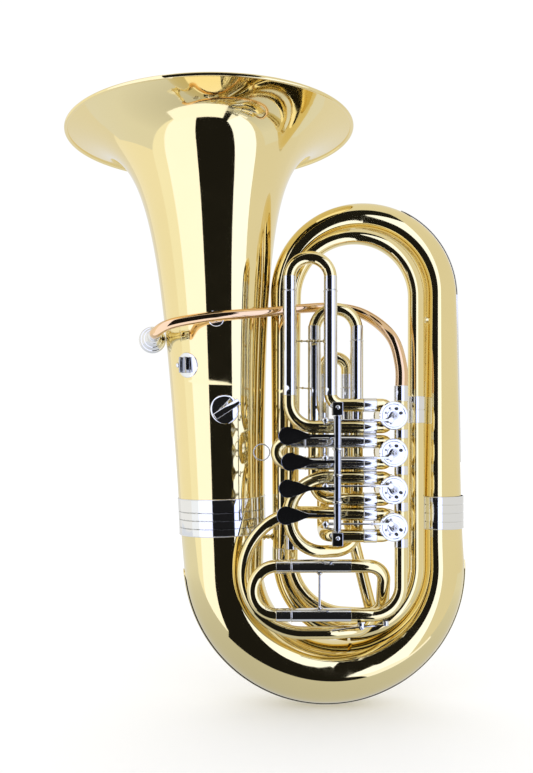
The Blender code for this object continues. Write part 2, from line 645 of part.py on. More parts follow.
def make_slide(name, corners, leg, pivot):
    """A U of tube. corners are its four corners, from leg end to leg end. Each leg is thin
    for the length that runs inside a fixed sleeve, and widens beyond the sleeve's ring."""
    start, far, back, end = (Vector(corner) for corner in corners)
    bend = (far - back).length / 2 - 1e-5
    inward = (far - start).normalized()
    line = bent_route([start, (*far, bend), (*back, bend), end])
    marks = (leg + GAP, leg + GAP + SLIDE_STEP)
    line = [line[0], start + inward * marks[0], start + inward * marks[1]] + line[1:-1] + [
        end + inward * marks[1], end + inward * marks[0], line[-1]]
    length = sum((spot - last).length for last, spot in zip(line, line[1:]))
    low, high = (mark / length for mark in marks)
    stops = [(0, SLIDE_R), (low, SLIDE_R), (high, SLIDE_BOW_R), (1 - high, SLIDE_BOW_R), (1 - low, SLIDE_R),
             (1, SLIDE_R)]
    pivot_at(tube(name, line, stops, NICKEL), pivot)


def make_slides():
    """Each slide is one bent tube whose legs run inside the fixed sleeves."""
    for name, (left, right), y, foot, ring_z, top_z in (
            ("slide_1", SLIDE_1_X, FRONT_Y, 0.515, SLIDE_1_RING_Z, SLIDE_1_TOP_Z),
            ("slide_3", SLIDE_3_X, THIRD_Y, 0.460, SLIDE_3_RING_Z, SLIDE_3_TOP_Z),
            ("slide_4", SLIDE_4_X, FOURTH_Y, 0.420, SLIDE_4_RING_Z, SLIDE_4_TOP_Z)):
        corners = [(left, y, foot), (left, y, top_z), (right, y, top_z), (right, y, foot)]
        make_slide(name, corners, ring_z - foot, ((left + right) / 2, y, ring_z))
    for name, (upper, lower), foot, ring_x, left_x in (
            ("slide_2", (VALVE_Z[1] + PORT_RISE, VALVE_Z[1] - PORT_RISE), 0.1100, SLIDE_2_RING_X,
             SLIDE_2_LEFT_X),
            ("main_slide", MAIN_SLIDE_Z, 0.1150, MAIN_SLIDE_RING_X, MAIN_SLIDE_LEFT_X)):
        corners = [(foot, FRONT_Y, upper), (left_x, FRONT_Y, upper), (left_x, FRONT_Y, lower),
                   (foot, FRONT_Y, lower)]
        make_slide(name, corners, foot - ring_x, (ring_x, FRONT_Y, (upper + lower) / 2))


def make_pull_ring():
    """The wire ring on the end of slide 2."""
    ring_r = 0.0118
    wire_r = 0.0012
    centre = Vector((SLIDE_2_LEFT_X - SLIDE_BOW_R - GAP - wire_r - ring_r, FRONT_Y, VALVE_Z[1]))
    outline = []
    for index in range(6):
        angle = 2 * math.pi * index / 6
        outline.append((wire_r * math.sin(angle), ring_r + wire_r * math.cos(angle)))
    pivot_at(lathe("slide_2_ring", outline, centre, (0, 1, 0), NICKEL, 16), centre)


# ------------------------------------------------------------------ levers
def make_paddle(number):
    index = number - 1
    pad_z = PAD_Z[index]
    pin_z = VALVE_Z[index] + PIN_OFFSET * PIN_SIDE[index]
    low, high = HUB_SPAN[index]
    paddle = rod(f"paddle_{number}", (AXLE_X, AXLE_Y, low), (AXLE_X, AXLE_Y, high), 0.0055, CHROME)
    centre_x = AXLE_X - PAD_REACH[index]
    neck_x = centre_x + 0.0305
    outline = [(neck_x, pad_z + 0.0030), (centre_x + 0.0075, pad_z + 0.0101)]
    for step in range(9):
        angle = math.radians(65 + 230 * step / 8)
        outline.append((centre_x + PAD_R * math.cos(angle), pad_z + PAD_R * math.sin(angle)))
    outline += [(centre_x + 0.0075, pad_z - 0.0101), (neck_x, pad_z - 0.0030)]
    outline = [outline[0]] + outline[2:-2] + [outline[-1]]
    pad = plate("pad", outline, -0.1835, -0.1807, CHROME)
    arm = block("arm", ((neck_x - 0.004 + AXLE_X) / 2, AXLE_Y - 0.0008, pad_z),
                (AXLE_X - neck_x + 0.004, 0.0034, 0.0050), CHROME)
    tip = Vector((AXLE_X + ARM_TIP[0], AXLE_Y + ARM_TIP[1], 0))
    heading = math.atan2(ARM_TIP[1], ARM_TIP[0])
    reach = math.hypot(*ARM_TIP)
    arm_z = pin_z - 0.0052
    middle = Vector((AXLE_X + ARM_TIP[0] / 2, AXLE_Y + ARM_TIP[1] / 2, arm_z))
    drive = block("drive", middle, (reach + 0.004, 0.0050, 0.0026), CHROME, Matrix.Rotation(heading, 4, "Z"))
    ball_pin = rod("ball_pin", (tip.x, tip.y, arm_z), (tip.x, tip.y, pin_z + 0.0042), 0.0018, CHROME, 8)
    join(paddle, pad, arm, drive, ball_pin)
    low_end, high_end = (AXLE_X, AXLE_Y, low - 0.01), (AXLE_X, AXLE_Y, high + 0.01)
    cut(paddle, rod("bore", low_end, high_end, AXLE_R + 0.0005, CHROME))
    pivot_at(paddle, (AXLE_X, AXLE_Y, pad_z))

    end_x = VALVE_X - PIN_OFFSET
    eye = [(-0.0032, 0.0023), (-0.0032, 0.0042), (0, 0.0052), (0.0032, 0.0042), (0.0032, 0.0023)]
    link = lathe(f"link_rod_{number}", eye, (tip.x, tip.y, pin_z), (0, 0, 1), STEEL, PIPE_SIDES)
    shaft = rod("shaft", (tip.x + 0.0040, tip.y, pin_z), (end_x - 0.0020, tip.y, pin_z), 0.0016, STEEL, 8)
    disc = rod("disc", (end_x, tip.y - 0.0021, pin_z), (end_x, tip.y + 0.0021, pin_z), 0.0045, STEEL)
    join(link, shaft, disc)
    pivot_at(link, (tip.x, tip.y, pin_z))


def make_lever_stand():
    low, high = 0.2742, 0.4718
    rod("lever_axle", (AXLE_X, AXLE_Y, low), (AXLE_X, AXLE_Y, high), AXLE_R, STEEL)
    for name, z, post_z in (("lever_bracket_top", 0.4632, 0.4695), ("lever_bracket_bottom", 0.2845, 0.2800)):
        bracket = block(name, (AXLE_X, AXLE_Y, z), (0.0150, 0.0150, 0.0184), CHROME)
        post_end = (AXLE_X, -0.1092, post_z)
        join(bracket, rod("post", (AXLE_X, AXLE_Y + 0.006, post_z), post_end, 0.0025, CHROME))
        low_end, high_end = (AXLE_X, AXLE_Y, z - 0.02), (AXLE_X, AXLE_Y, z + 0.02)
        cut(bracket, rod("bore", low_end, high_end, AXLE_R + 0.0004, CHROME))


# ------------------------------------------------------------------ water key and stays
def make_water_key():
    pivot = Vector((0.1382, FRONT_Y, 0.1455))
    key = rod("water_key", pivot - Vector((0, 0.0090, 0)), pivot + Vector((0, 0.0090, 0)), 0.0030, NICKEL)
    for end_x, end_z, width in ((0.0958, 0.1395, 0.0080), (0.1772, 0.1478, 0.0060)):
        end = Vector((end_x, FRONT_Y, end_z))
        run = end - pivot
        turn = Matrix.Rotation(-math.atan2(run.z, run.x), 4, "Y")
        join(key, block("lever", (pivot + end) / 2, (run.length + 0.002, width, 0.0022), NICKEL, turn))
    join(key, rod("cup", (0.1750, FRONT_Y, 0.1465), (0.1750, FRONT_Y, 0.1540), 0.0045, NICKEL))
    pivot_at(key, pivot)


def make_stays(bow, branch):
    """Short posts soldered to the bottom bow and to the inner branch."""
    z = 0.2645
    bow_edge = BELL_FOOT.x - BELL_LEAN * (BELL_FOOT.z - z) + 0.0655
    join(bow, rod("stay", (bow_edge - 0.0010, 0, z), (OUTER_LEFT_X - 0.0195, 0, z), 0.0040, NICKEL, 8))
    z = 0.6067
    start = Vector((INNER_RIGHT_X, INNER_Y, z))
    run = Vector((OUTER_LEFT_X + 2 * OUTER_BEND_R, 0, z)) - start
    reach = run.length - 0.0306
    run.normalize()
    join(branch, rod("stay", start + run * 0.0117, start + run * reach, 0.0030, NICKEL, 8))


make_bell()
bottom_bow = make_bottom_bow()
make_outer_branch()
inner_branch = make_inner_branch()
make_stays(bottom_bow, inner_branch)
make_leadpipe()
make_bell_fittings()
for valve in (1, 2, 3, 4):
    make_valve(valve)
make_valve_tubing()
make_slides()
make_pull_ring()
for lever in (1, 2, 3, 4):
    make_paddle(lever)
make_lever_stand()
make_water_key()
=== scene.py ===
import math

import bmesh
import bpy
from mathutils import Matrix, Vector


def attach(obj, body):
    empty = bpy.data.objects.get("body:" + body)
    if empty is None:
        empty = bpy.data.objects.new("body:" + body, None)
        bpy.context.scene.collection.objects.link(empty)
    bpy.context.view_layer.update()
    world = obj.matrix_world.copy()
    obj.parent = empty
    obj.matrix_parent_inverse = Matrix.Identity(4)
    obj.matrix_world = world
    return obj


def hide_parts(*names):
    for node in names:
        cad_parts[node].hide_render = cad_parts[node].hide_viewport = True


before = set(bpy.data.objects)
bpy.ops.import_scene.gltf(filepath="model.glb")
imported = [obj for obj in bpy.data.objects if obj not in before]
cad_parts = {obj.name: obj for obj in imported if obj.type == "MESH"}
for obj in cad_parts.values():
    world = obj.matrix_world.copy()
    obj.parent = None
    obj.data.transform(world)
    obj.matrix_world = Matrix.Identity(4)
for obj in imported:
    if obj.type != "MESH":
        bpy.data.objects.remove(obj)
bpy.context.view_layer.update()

# ------------------------------------------------------------------ dimensions, as in the CAD part
GAP = 0.0003
TUBE_R = 0.0096
SLIDE_R = 0.0078
SLIDE_BOW_R = 0.0094
BODY_WALL = 0.001
FRONT_Y = -0.1
THIRD_Y = -0.07
FOURTH_Y = -0.03
INNER_Y = -0.035
BELL_FOOT = Vector((-0.0704, 0.0, 0.3003))
BELL_HEIGHT = 0.6027
BELL_LEAN = -0.031
BELL_THROAT = 0.0229
BELL_FLARE = 0.0365
BELL_ONSET = 0.0178
BELL_POWER = 0.42
RIM_BEAD_R = 0.0027
BOW_BOTTOM_Z = 0.05078
BOW_BEND_R = 0.1705
BOW_RIGHT_X = 0.2729
BOW_CORNER_X = 0.28
BOW_LEAN_Z = 0.262
BOW_START_R = 0.0672
BOW_MIDDLE_R = 0.0452
BOW_END_R = 0.0368
BOW_TOP_Z = 0.3051
GUARD_THICKNESS = 0.0012
GUARD_LIFT = 0.0007
GUARD_TOP_Z = 0.2383
OUTER_LEFT_X = 0.0285
OUTER_BEND_R = (BOW_RIGHT_X - OUTER_LEFT_X) / 2
OUTER_TOP_Z = 0.769
OUTER_END_Z = 0.228
INNER_RIGHT_X = 0.2315
INNER_LEFT_X = 0.0426
INNER_BOTTOM_Z = 0.119
INNER_BOW_BEND_R = 0.107
INNER_JOINT_Z = 0.4656
INNER_TOP_Z = 0.7335
INNER_BEND_R = 0.0944
RETURN_JOINT_Z = 0.26
RETURN_X = 0.0385
RETURN_Z = 0.155
VALVE_X = 0.1823
VALVE_Z = [0.4546 - 0.0533 * row for row in range(4)]
MAIN_LINE_X = 0.1976
PORT_RISE = 0.016
PORT_END_X = 0.1423
STUB_REACH = 0.0263
CASING_FRONT_Y = -0.1257
CASING_BACK_Y = -0.0657
CAP_R = 0.0205
CAP_FRONT_Y = -0.132
CAP_BACK_Y = -0.058
PIN_OFFSET = 0.0067
PIN_SIDE = (-1, -1, 1, 1)
SLIDE_1_X = (0.0338, 0.094)
SLIDE_2_LEFT_X = 0.0156
SLIDE_2_RING_X = 0.0557
SLIDE_3_X = (0.0723, 0.1358)
SLIDE_4_X = (0.0878, 0.1251)
MAIN_SLIDE_Z = (0.2342, 0.1625)
MAIN_SLIDE_LEFT_X = -0.0199
MAIN_SLIDE_RING_X = 0.036
AXLE_X = 0.0973
AXLE_Y = -0.18
PAD_Z = (0.4258, 0.3904, 0.3538, 0.3169)
PAD_REACH = (0.0684, 0.0645, 0.0681, 0.0708)
PAD_R = 0.0126
HUB_SPAN = ((0.4095, 0.4532), (0.3738, 0.4065), (0.3368, 0.3708), (0.2954, 0.3338))
ARM_TIP = (-0.0141, 0.0331)
MOUTH_BASE = Vector((-0.1633, -0.1, 0.576))
MOUTH_AXIS = Vector((-0.0183, 0.1, 0.0009)).normalized()
X_AXIS, Y_AXIS, Z_AXIS = Vector((1, 0, 0)), Vector((0, 1, 0)), Vector((0, 0, 1))


# ------------------------------------------------------------------ materials
def metal(name, colour, roughness, tone=0.05, smudge=0.06, bump=0.0004, coat=0.0):
    """Polished metal: slow shifts of tone, smudges in the polish, and the faint waviness
    left by hand buffing."""
    made = bpy.data.materials.new(name)
    made.use_nodes = True
    nodes, links = made.node_tree.nodes, made.node_tree.links
    shader = nodes["Principled BSDF"]
    shader.inputs["Metallic"].default_value = 1.0
    shader.inputs["Coat Weight"].default_value = coat
    shader.inputs["Coat Roughness"].default_value = 0.03
    where = nodes.new("ShaderNodeTexCoord")

    def noise(scale, detail, stretch=(1, 1, 1)):
        turn = nodes.new("ShaderNodeMapping")
        turn.inputs["Scale"].default_value = stretch
        links.new(where.outputs["Object"], turn.inputs["Vector"])
        cloud = nodes.new("ShaderNodeTexNoise")
        cloud.inputs["Scale"].default_value = scale
        cloud.inputs["Detail"].default_value = detail
        links.new(turn.outputs["Vector"], cloud.inputs["Vector"])
        return cloud.outputs["Fac"]

    shift = nodes.new("ShaderNodeMix")
    shift.data_type = "RGBA"
    for socket, gain in (("A", 1 - tone), ("B", 1 + tone * 0.6)):
        value = [min(channel * gain, 1.0) for channel in colour]
        if socket == "A":
            value[2] *= 1 - tone
        next(s for s in shift.inputs if s.name == socket and s.type == "RGBA").default_value = (*value, 1)
    links.new(noise(7.0, 3.0), shift.inputs["Factor"])
    links.new(next(s for s in shift.outputs if s.type == "RGBA"), shader.inputs["Base Color"])
    polish = nodes.new("ShaderNodeMapRange")
    polish.inputs["From Min"].default_value = 0.35
    polish.inputs["From Max"].default_value = 0.75
    polish.inputs["To Min"].default_value = roughness
    polish.inputs["To Max"].default_value = roughness + smudge
    links.new(noise(38.0, 5.0), polish.inputs["Value"])
    links.new(polish.outputs["Result"], shader.inputs["Roughness"])
    wave = nodes.new("ShaderNodeBump")
    wave.inputs["Strength"].default_value = 0.25
    wave.inputs["Distance"].default_value = bump
    links.new(noise(26.0, 2.0, (1, 1, 0.35)), wave.inputs["Height"])
    links.new(wave.outputs["Normal"], shader.inputs["Normal"])
    return made


FINISHES = {
    "brass": (metal("lacquered_brass", (0.9, 0.748, 0.375), 0.025, coat=0.25), "lacquered_brass"),
    "gold": (metal("gold_brass", (0.84, 0.565, 0.31), 0.04, coat=0.25), "gold_brass"),
    "nickel": (metal("nickel_silver", (0.84, 0.83, 0.8), 0.03, tone=0.03), "nickel_silver"),
    "chrome": (metal("chrome", (0.46, 0.47, 0.49), 0.04, tone=0.03), "chrome"),
    "steel": (metal("valve_steel", (0.62, 0.61, 0.59), 0.14, smudge=0.1), "valve_steel"),
    "cork": (metal("bumper", (0.03, 0.03, 0.03), 0.5, tone=0.3, smudge=0.2), None),
}
FINISHES["cork"][0].node_tree.nodes["Principled BSDF"].inputs["Metallic"].default_value = 0.0


# ------------------------------------------------------------------ building pieces
def cosine(degrees):
    return math.cos(math.radians(degrees))


def sine(degrees):
    return math.sin(math.radians(degrees))


def piece(name, points, faces, finish, body="body", nodes=(), sharp=32):
    mesh = bpy.data.meshes.new(name)
    mesh.from_pydata([tuple(point) for point in points], [], faces)
    mesh.update()
    mesh.shade_smooth()
    mesh.set_sharp_from_angle(angle=math.radians(sharp))
    made = bpy.data.objects.new(name, mesh)
    bpy.context.scene.collection.objects.link(made)
    look, slot = FINISHES[finish]
    mesh.materials.append(look)
    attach(made, body)
    if nodes:
        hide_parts(*([nodes] if isinstance(nodes, str) else nodes))
    return made


def ring_faces(count, sides, loop=False):
    """Quads between neighbouring rings of points."""
    faces = []
    for ring in range(count if loop else count - 1):
        near, far = ring * sides, (ring + 1) % count * sides
        for index in range(sides):
            following = (index + 1) % sides
            faces.append((near + index, near + following, far + following, far + index))
    return faces


def end_faces(count, sides):
    """The flat faces that close the first and the last of count rings."""
    last = (count - 1) * sides
    return [tuple(range(sides))[::-1], tuple(range(last, last + sides))]


def bent_route(points, step=math.radians(5)):
    """Points along straight stretches. A fourth number on a corner rounds it to that radius."""
    line = [Vector(points[0][:3])]
    for before, corner, after in zip(points, points[1:], points[2:]):
        here = Vector(corner[:3])
        if len(corner) == 3:
            line.append(here)
            continue
        into = (here - Vector(before[:3])).normalized()
        out = (Vector(after[:3]) - here).normalized()
        turn = into.angle(out)
        setback = corner[3] * math.tan(turn / 2)
        hub = here - into * setback + (out - into * into.dot(out)).normalized() * corner[3]
        spoke = here - into * setback - hub
        count = max(2, round(turn / step))
        swing = into.cross(out).normalized()
        for index in range(count + 1):
            line.append(hub + Matrix.Rotation(turn * index / count, 3, swing) @ spoke)
    line.append(Vector(points[-1][:3]))
    return line[:1] + [spot for last, spot in zip(line, line[1:]) if (spot - last).length > 1e-5]


def smooth_route(points, steps):
    knots = [Vector(point) for point in points]
    knots = [2 * knots[0] - knots[1]] + knots + [2 * knots[-1] - knots[-2]]
    line = []
    for a, b, c, d in zip(knots, knots[1:], knots[2:], knots[3:]):
        for index in range(steps):
            t = index / steps
            line.append(0.5 * (2 * b + (c - a) * t + (2 * a - 5 * b + 4 * c - d) * t ** 2
                               + (3 * b - a - 3 * c + d) * t ** 3))
    line.append(knots[-2])
    return line


def route_frames(line, side):
    frames = []
    for index, spot in enumerate(line):
        before = line[max(index - 1, 0)]
        after = line[min(index + 1, len(line) - 1)]
        if 0 < index < len(line) - 1:
            ahead = (spot - before).normalized() + (after - spot).normalized()
        else:
            ahead = after - before
        ahead.normalize()
        side = (side - ahead * side.dot(ahead)).normalized()
        frames.append((spot, side, side.cross(ahead), ahead))
    return frames


def fractions(line):
    lengths = [0.0]
    for last, spot in zip(line, line[1:]):
        lengths.append(lengths[-1] + (spot - last).length)
    return [length / lengths[-1] for length in lengths]


def taper(stops, place):
    for (low, first), (high, second) in zip(stops, stops[1:]):
        if place <= high:
            return first + (second - first) * (place - low) / (high - low)
    return stops[-1][1]


def circle(centre, across, up, size, sides):
    turns = [2 * math.pi * index / sides for index in range(sides)]
    return [centre + size * (across * math.cos(a) + up * math.sin(a)) for a in turns]


def pipe(name, line, radius, finish, body="body", nodes=(), sides=32, depth=0.012, side=Y_AXIS):
    """A pipe along a line, with a rounded lip and a short bore at each end."""
    stops = [(0, radius), (1, radius)] if isinstance(radius, float) else radius
    frames = route_frames(line, side)
    sizes = [taper(stops, place) for place in fractions(line)]
    rings = []
    for (spot, across, up, ahead), size, way in ((frames[0], sizes[0], 1), (frames[-1], sizes[-1], -1)):
        lip = []
        for along, inset in ((depth, 0.001), (0.0003, 0.001), (0, 0.0007), (0, 0.0003)):
            lip.append(circle(spot + ahead * along * way, across, up, size - inset, sides))
        rings.append(lip)
    body_rings = [circle(*at[:3], size, sides) for at, size in zip(frames, sizes)]
    for end, way in ((0, 1), (-1, -1)):
        spot, across, up, ahead = frames[end]
        body_rings[end] = circle(spot + ahead * 0.0003 * way, across, up, sizes[end], sides)
    every = rings[0] + body_rings + rings[1][::-1]
    points = [point for ring in every for point in ring]
    faces = ring_faces(len(every), sides) + end_faces(len(every), sides)
    return piece(name, points, faces, finish, body, nodes)


def turned(name, profile, base, axis, finish, body="body", nodes=(), sides=48, loop=False, knurl=None,
           sharp=32):
    """A lathed piece from (along, radius) points. knurl is (first, last, count, depth)."""
    axis = Vector(axis).normalized()
    side = Y_AXIS if abs(axis.y) < 0.9 else Z_AXIS
    side = (side - axis * side.dot(axis)).normalized()
    up = side.cross(axis)
    points = []
    for step, (along, size) in enumerate(profile):
        ring = circle(Vector(base) + axis * along, side, up, max(size, 1e-5), sides)
        if knurl and knurl[0] <= step <= knurl[1]:
            centre = Vector(base) + axis * along
            for index, point in enumerate(ring):
                depth = knurl[3] * (0.5 + 0.5 * math.cos(knurl[2] * 2 * math.pi * index / sides))
                ring[index] = centre + (point - centre) * (1 - depth / size)
        points += ring
    faces = ring_faces(len(profile), sides, loop)
    if not loop:
        faces += end_faces(len(profile), sides)
    return piece(name, points, faces, finish, body, nodes, sharp)


def mirrored(half, length=0):
    """A symmetrical outline from its first half. Without a length it is centred on the base."""
    return half + [(length - along, size) for along, size in half[::-1]]


def bead_arc(middle, size, bead):
    """The points of a half-round bead of this radius, standing on a surface of radius size."""
    return [(middle - bead * cosine(angle), size + bead * sine(angle)) for angle in range(0, 181, 30)]


def banded(length, size, inner, grooves=(), bead=0.0, cone=0.0):
    """The closed outline of a ferrule: rounded ends, grooves at fractions of its length,
    and an optional bead at both ends. cone is how much wider its far end is."""
    outline = [(0, inner), (0, size - 0.0004), (0.0004, size)]
    if bead:
        outline += bead_arc(0.0004 + bead, size, bead)
    for place in grooves:
        at = length * place
        outline += [(at - 0.0009, size), (at - 0.0005, size - 0.0008), (at + 0.0005, size - 0.0008),
                    (at + 0.0009, size)]
    if bead:
        outline += bead_arc(length - 0.0004 - bead, size, bead)
    outline += [(length - 0.0004, size), (length, size - 0.0004), (length, inner)]
    return [(along, radius + cone * along / length) for along, radius in outline]


def ferrule(name, base, axis, length, size, body="body", grooves=(), bead=0.0, nodes=(), wall=0.0012,
            sides=48):
    outline = banded(length, size, size - wall, grooves, bead)
    return turned(name, outline, base, axis, "nickel", body, nodes, sides, True)


def wire(name, line, size, finish, body="body", nodes=(), sides=12, loop=False):
    """A round wire along a line, with domed ends, or a closed ring of it."""
    if loop:
        centre = sum(line, Vector()) / len(line)
        points = []
        for index, spot in enumerate(line):
            ahead = (line[(index + 1) % len(line)] - line[index - 1]).normalized()
            out = (spot - centre).normalized()
            points += circle(spot, out, out.cross(ahead), size, sides)
        return piece(name, points, ring_faces(len(line), sides, True), finish, body, nodes)
    frames = route_frames(line, Y_AXIS)
    rings = []
    for end, way in ((0, -1), (-1, 1)):
        spot, across, up, ahead = frames[end]
        rings.append([circle(spot + ahead * way * size * sine(angle), across, up,
                             max(size * cosine(angle), 1e-5), sides) for angle in (30, 60, 90)])
    every = rings[0][::-1] + [circle(*at[:3], size, sides) for at in frames] + rings[1]
    points = [point for ring in every for point in ring]
    return piece(name, points, ring_faces(len(every), sides), finish, body, nodes)


def slab(name, outline, low, high, finish, body="body", nodes=(), place=None, bevel=0.0004):
    """A flat outline of (u, v) points given thickness, with bevelled edges. place maps
    (u, v, height) to the world."""
    place = place or (lambda u, v, w: Vector((u, w, v)))
    count = len(outline)

    def shrunk(amount):
        ring = []
        for index in range(count):
            spot = Vector(outline[index])
            before, after = Vector(outline[index - 1]), Vector(outline[(index + 1) % count])
            run = (after - before).normalized()
            ring.append(spot + Vector((-run.y, run.x)) * amount)
        return ring

    area = sum(a[0] * b[1] - b[0] * a[1] for a, b in zip(outline, outline[1:] + outline[:1]))
    if area < 0:
        outline = outline[::-1]
    layers = [(low, bevel), (low + bevel * 0.3, bevel * 0.3), (low + bevel, 0), (high - bevel, 0),
              (high - bevel * 0.3, bevel * 0.3), (high, bevel)]
    points = []
    for height, inset in layers:
        points += [place(spot.x, spot.y, height) for spot in shrunk(inset)]
    faces = ring_faces(len(layers), count) + end_faces(len(layers), count)
    fix_normals(piece(name, points, faces, finish, body, nodes))


def fix_normals(made):
    data = bmesh.new()
    data.from_mesh(made.data)
    bmesh.ops.recalc_face_normals(data, faces=data.faces)
    data.to_mesh(made.data)
    data.free()


def box(name, centre, size, finish, turn=None, body="body", nodes=(), bevel=0.0006):
    """A block with rounded edges."""
    data = bmesh.new()
    bmesh.ops.create_cube(data, size=1.0)
    bmesh.ops.transform(data, matrix=Matrix.Diagonal((*size, 1.0)), verts=data.verts)
    bmesh.ops.bevel(data, geom=data.edges[:], offset=bevel, segments=3, profile=0.5, affect="EDGES")
    place = Matrix.Translation(Vector(centre)) @ (turn or Matrix())
    bmesh.ops.transform(data, matrix=place, verts=data.verts)
    points = [vert.co.copy() for vert in data.verts]
    faces = [[vert.index for vert in face.verts] for face in data.faces]
    data.free()
    return piece(name, points, faces, finish, body, nodes, 40)


def screw(name, spot, out, size, finish="nickel", body="body", height=0.0012, slot_turn=0.4):
    """A domed screw head with a slot sawn across it."""
    out = Vector(out).normalized()
    side = Z_AXIS if abs(out.z) < 0.9 else X_AXIS
    side = (side - out * side.dot(out)).normalized()
    side = Matrix.Rotation(slot_turn, 3, out) @ side
    up = out.cross(side)
    sides, rings = 24, []
    for along, share in ((-0.0004, 1.0), (height * 0.45, 1.0), (height * 0.8, 0.82), (height, 0.5),
                         (height * 1.02, 0.2)):
        ring = []
        for index in range(sides):
            angle = 2 * math.pi * index / sides
            u, v = share * size * math.cos(angle), share * size * math.sin(angle)
            sunk = 0.55 * height if abs(v) < 0.2 * size and along > 0 else 0.0
            ring.append(Vector(spot) + side * u + up * v + out * (along - sunk))
        rings.append(ring)
    points = [point for ring in rings for point in ring]
    faces = ring_faces(len(rings), sides) + end_faces(len(rings), sides)
    return piece(name, points, faces, finish, body, (), 25)


def post(name, start, end, size, finish="nickel", knobs=3):
    """A turned brace: a thin rod with a foot at each end and small knobs between."""
    start, end = Vector(start), Vector(end)
    length = (end - start).length
    foot = [(0, size * 1.9), (size * 0.4, size * 1.9), (size * 1.1, size * 1.1), (size * 1.5, size * 0.8)]
    outline = list(foot)
    for knob in range(knobs):
        at = length * (knob + 1) / (knobs + 1)
        for shift, share in ((-1.1, 0.7), (-0.7, 1.15), (0, 1.35), (0.7, 1.15), (1.1, 0.7)):
            outline.append((at + shift * size, size * share))
    outline += [(length - along, radius) for along, radius in foot[::-1]]
    return turned(name, outline, start, end - start, finish, sides=20)


# ------------------------------------------------------------------ bell and bows
def bell_radius(z):
    below_rim = max(BELL_FOOT.z + BELL_HEIGHT - z, 0.0)
    return BELL_THROAT + BELL_FLARE * (below_rim + BELL_ONSET) ** -BELL_POWER


def bell_centre(z):
    return Vector((BELL_FOOT.x + BELL_LEAN * (z - BELL_FOOT.z), 0.0, z))


def make_bell():
    rings = 110
    heights = [BELL_HEIGHT * (1 - (1 - index / rings) ** 2.4) for index in range(rings + 1)]
    skin = [Vector((height, bell_radius(BELL_FOOT.z + height))) for height in heights]
    inner = []
    for index, spot in enumerate(skin):
        run = skin[min(index + 1, rings)] - skin[max(index - 1, 0)]
        inner.append(spot + Vector((run.y, -run.x)).normalized() * BODY_WALL)
    bead = []
    for index in range(17):
        angle = math.radians(-150 + 300 * index / 16)
        bead.append(skin[-1] + RIM_BEAD_R * Vector((math.sin(angle), 1 + math.cos(angle))))
    outline = [tuple(spot) for spot in skin[:-1] + bead + inner[-2::-1]]
    turned("bell_skin", outline, BELL_FOOT, Vector((BELL_LEAN, 0, 1)), "brass", nodes="bell", sides=192,
           loop=True, sharp=50)


def make_bottom_bow():
    foot = BELL_FOOT - Vector((BELL_LEAN, 0, 1)) * 0.0005
    corner_x = foot.x - BELL_LEAN * (foot.z - BOW_BOTTOM_Z)
    line = bent_route([(foot.x, 0, foot.z), (corner_x, 0, BOW_BOTTOM_Z, BOW_BEND_R),
                       (BOW_CORNER_X, 0, BOW_BOTTOM_Z, BOW_BEND_R), (BOW_RIGHT_X, 0, BOW_LEAN_Z, 0.4),
                       (BOW_RIGHT_X, 0, BOW_TOP_Z)], math.radians(2))
    stops = [(0, BOW_START_R), (0.6, BOW_MIDDLE_R), (1, BOW_END_R)]
    pipe("bottom_bow_tube", line, stops, "brass", nodes="bottom_bow", sides=96, depth=0.006)
    radii = [taper(stops, place) for place in fractions(line)]
    chosen = [step for step, spot in enumerate(line) if spot.z < GUARD_TOP_Z]
    strip("bottom_bow_strip", line, radii, chosen, math.radians(17.5), "brass", "bottom_bow_guard")
    below, above = 0.0286, 0.0287
    lean = Vector((BELL_LEAN, 0, 1)).normalized()
    low_r, high_r = BOW_START_R + 0.0013, bell_radius(BELL_FOOT.z + above) + 0.0011
    outline = banded(below + above, low_r, low_r - 0.0008, (0.21, 0.43, 0.64), 0.0006, high_r - low_r)
    turned("bell_joint", outline, BELL_FOOT - lean * below, lean, "nickel", nodes="bell_ferrule",
           sides=128, loop=True)
    ferrule("bow_joint", (BOW_RIGHT_X, 0, 0.2797), Z_AXIS, 0.0508, BOW_END_R + 0.0028,
            grooves=(0.24, 0.5, 0.76), bead=0.0004, nodes="bow_ferrule", wall=0.001, sides=96)


def strip(name, line, radii, chosen, half_angle, finish, node, fade=0.0):
    """A guard strip that wraps the outer side of a bend, thin at its edges."""
    frames = route_frames(line, Y_AXIS)
    across_steps = 10
    points = []
    for order, step in enumerate(chosen):
        spot, across, up, _ = frames[step]
        place = order / (len(chosen) - 1)
        half = half_angle * min(1.0, 0.12 + place / fade) if fade else half_angle
        end = min(order, len(chosen) - 1 - order)
        half *= min(1.0, 0.5 + 0.25 * end)
        ring = []
        for index in range(across_steps + 1):
            turn = -1 + 2 * index / across_steps
            out = across * math.sin(half * turn) + up * math.cos(half * turn)
            edge = min(1.0, (1 - abs(turn)) * 6)
            ring.append(spot + (radii[step] + GUARD_LIFT + GUARD_THICKNESS * (0.35 + 0.65 * edge)) * out)
        for index in range(across_steps, -1, -1):
            turn = -1 + 2 * index / across_steps
            out = across * math.sin(half * turn) + up * math.cos(half * turn)
            ring.append(spot + (radii[step] + 0.0001) * out)
        points += ring
    count = 2 * across_steps + 2
    faces = ring_faces(len(chosen), count) + end_faces(len(chosen), count)
    fix_normals(piece(name, points, faces, finish, nodes=node, sharp=60))


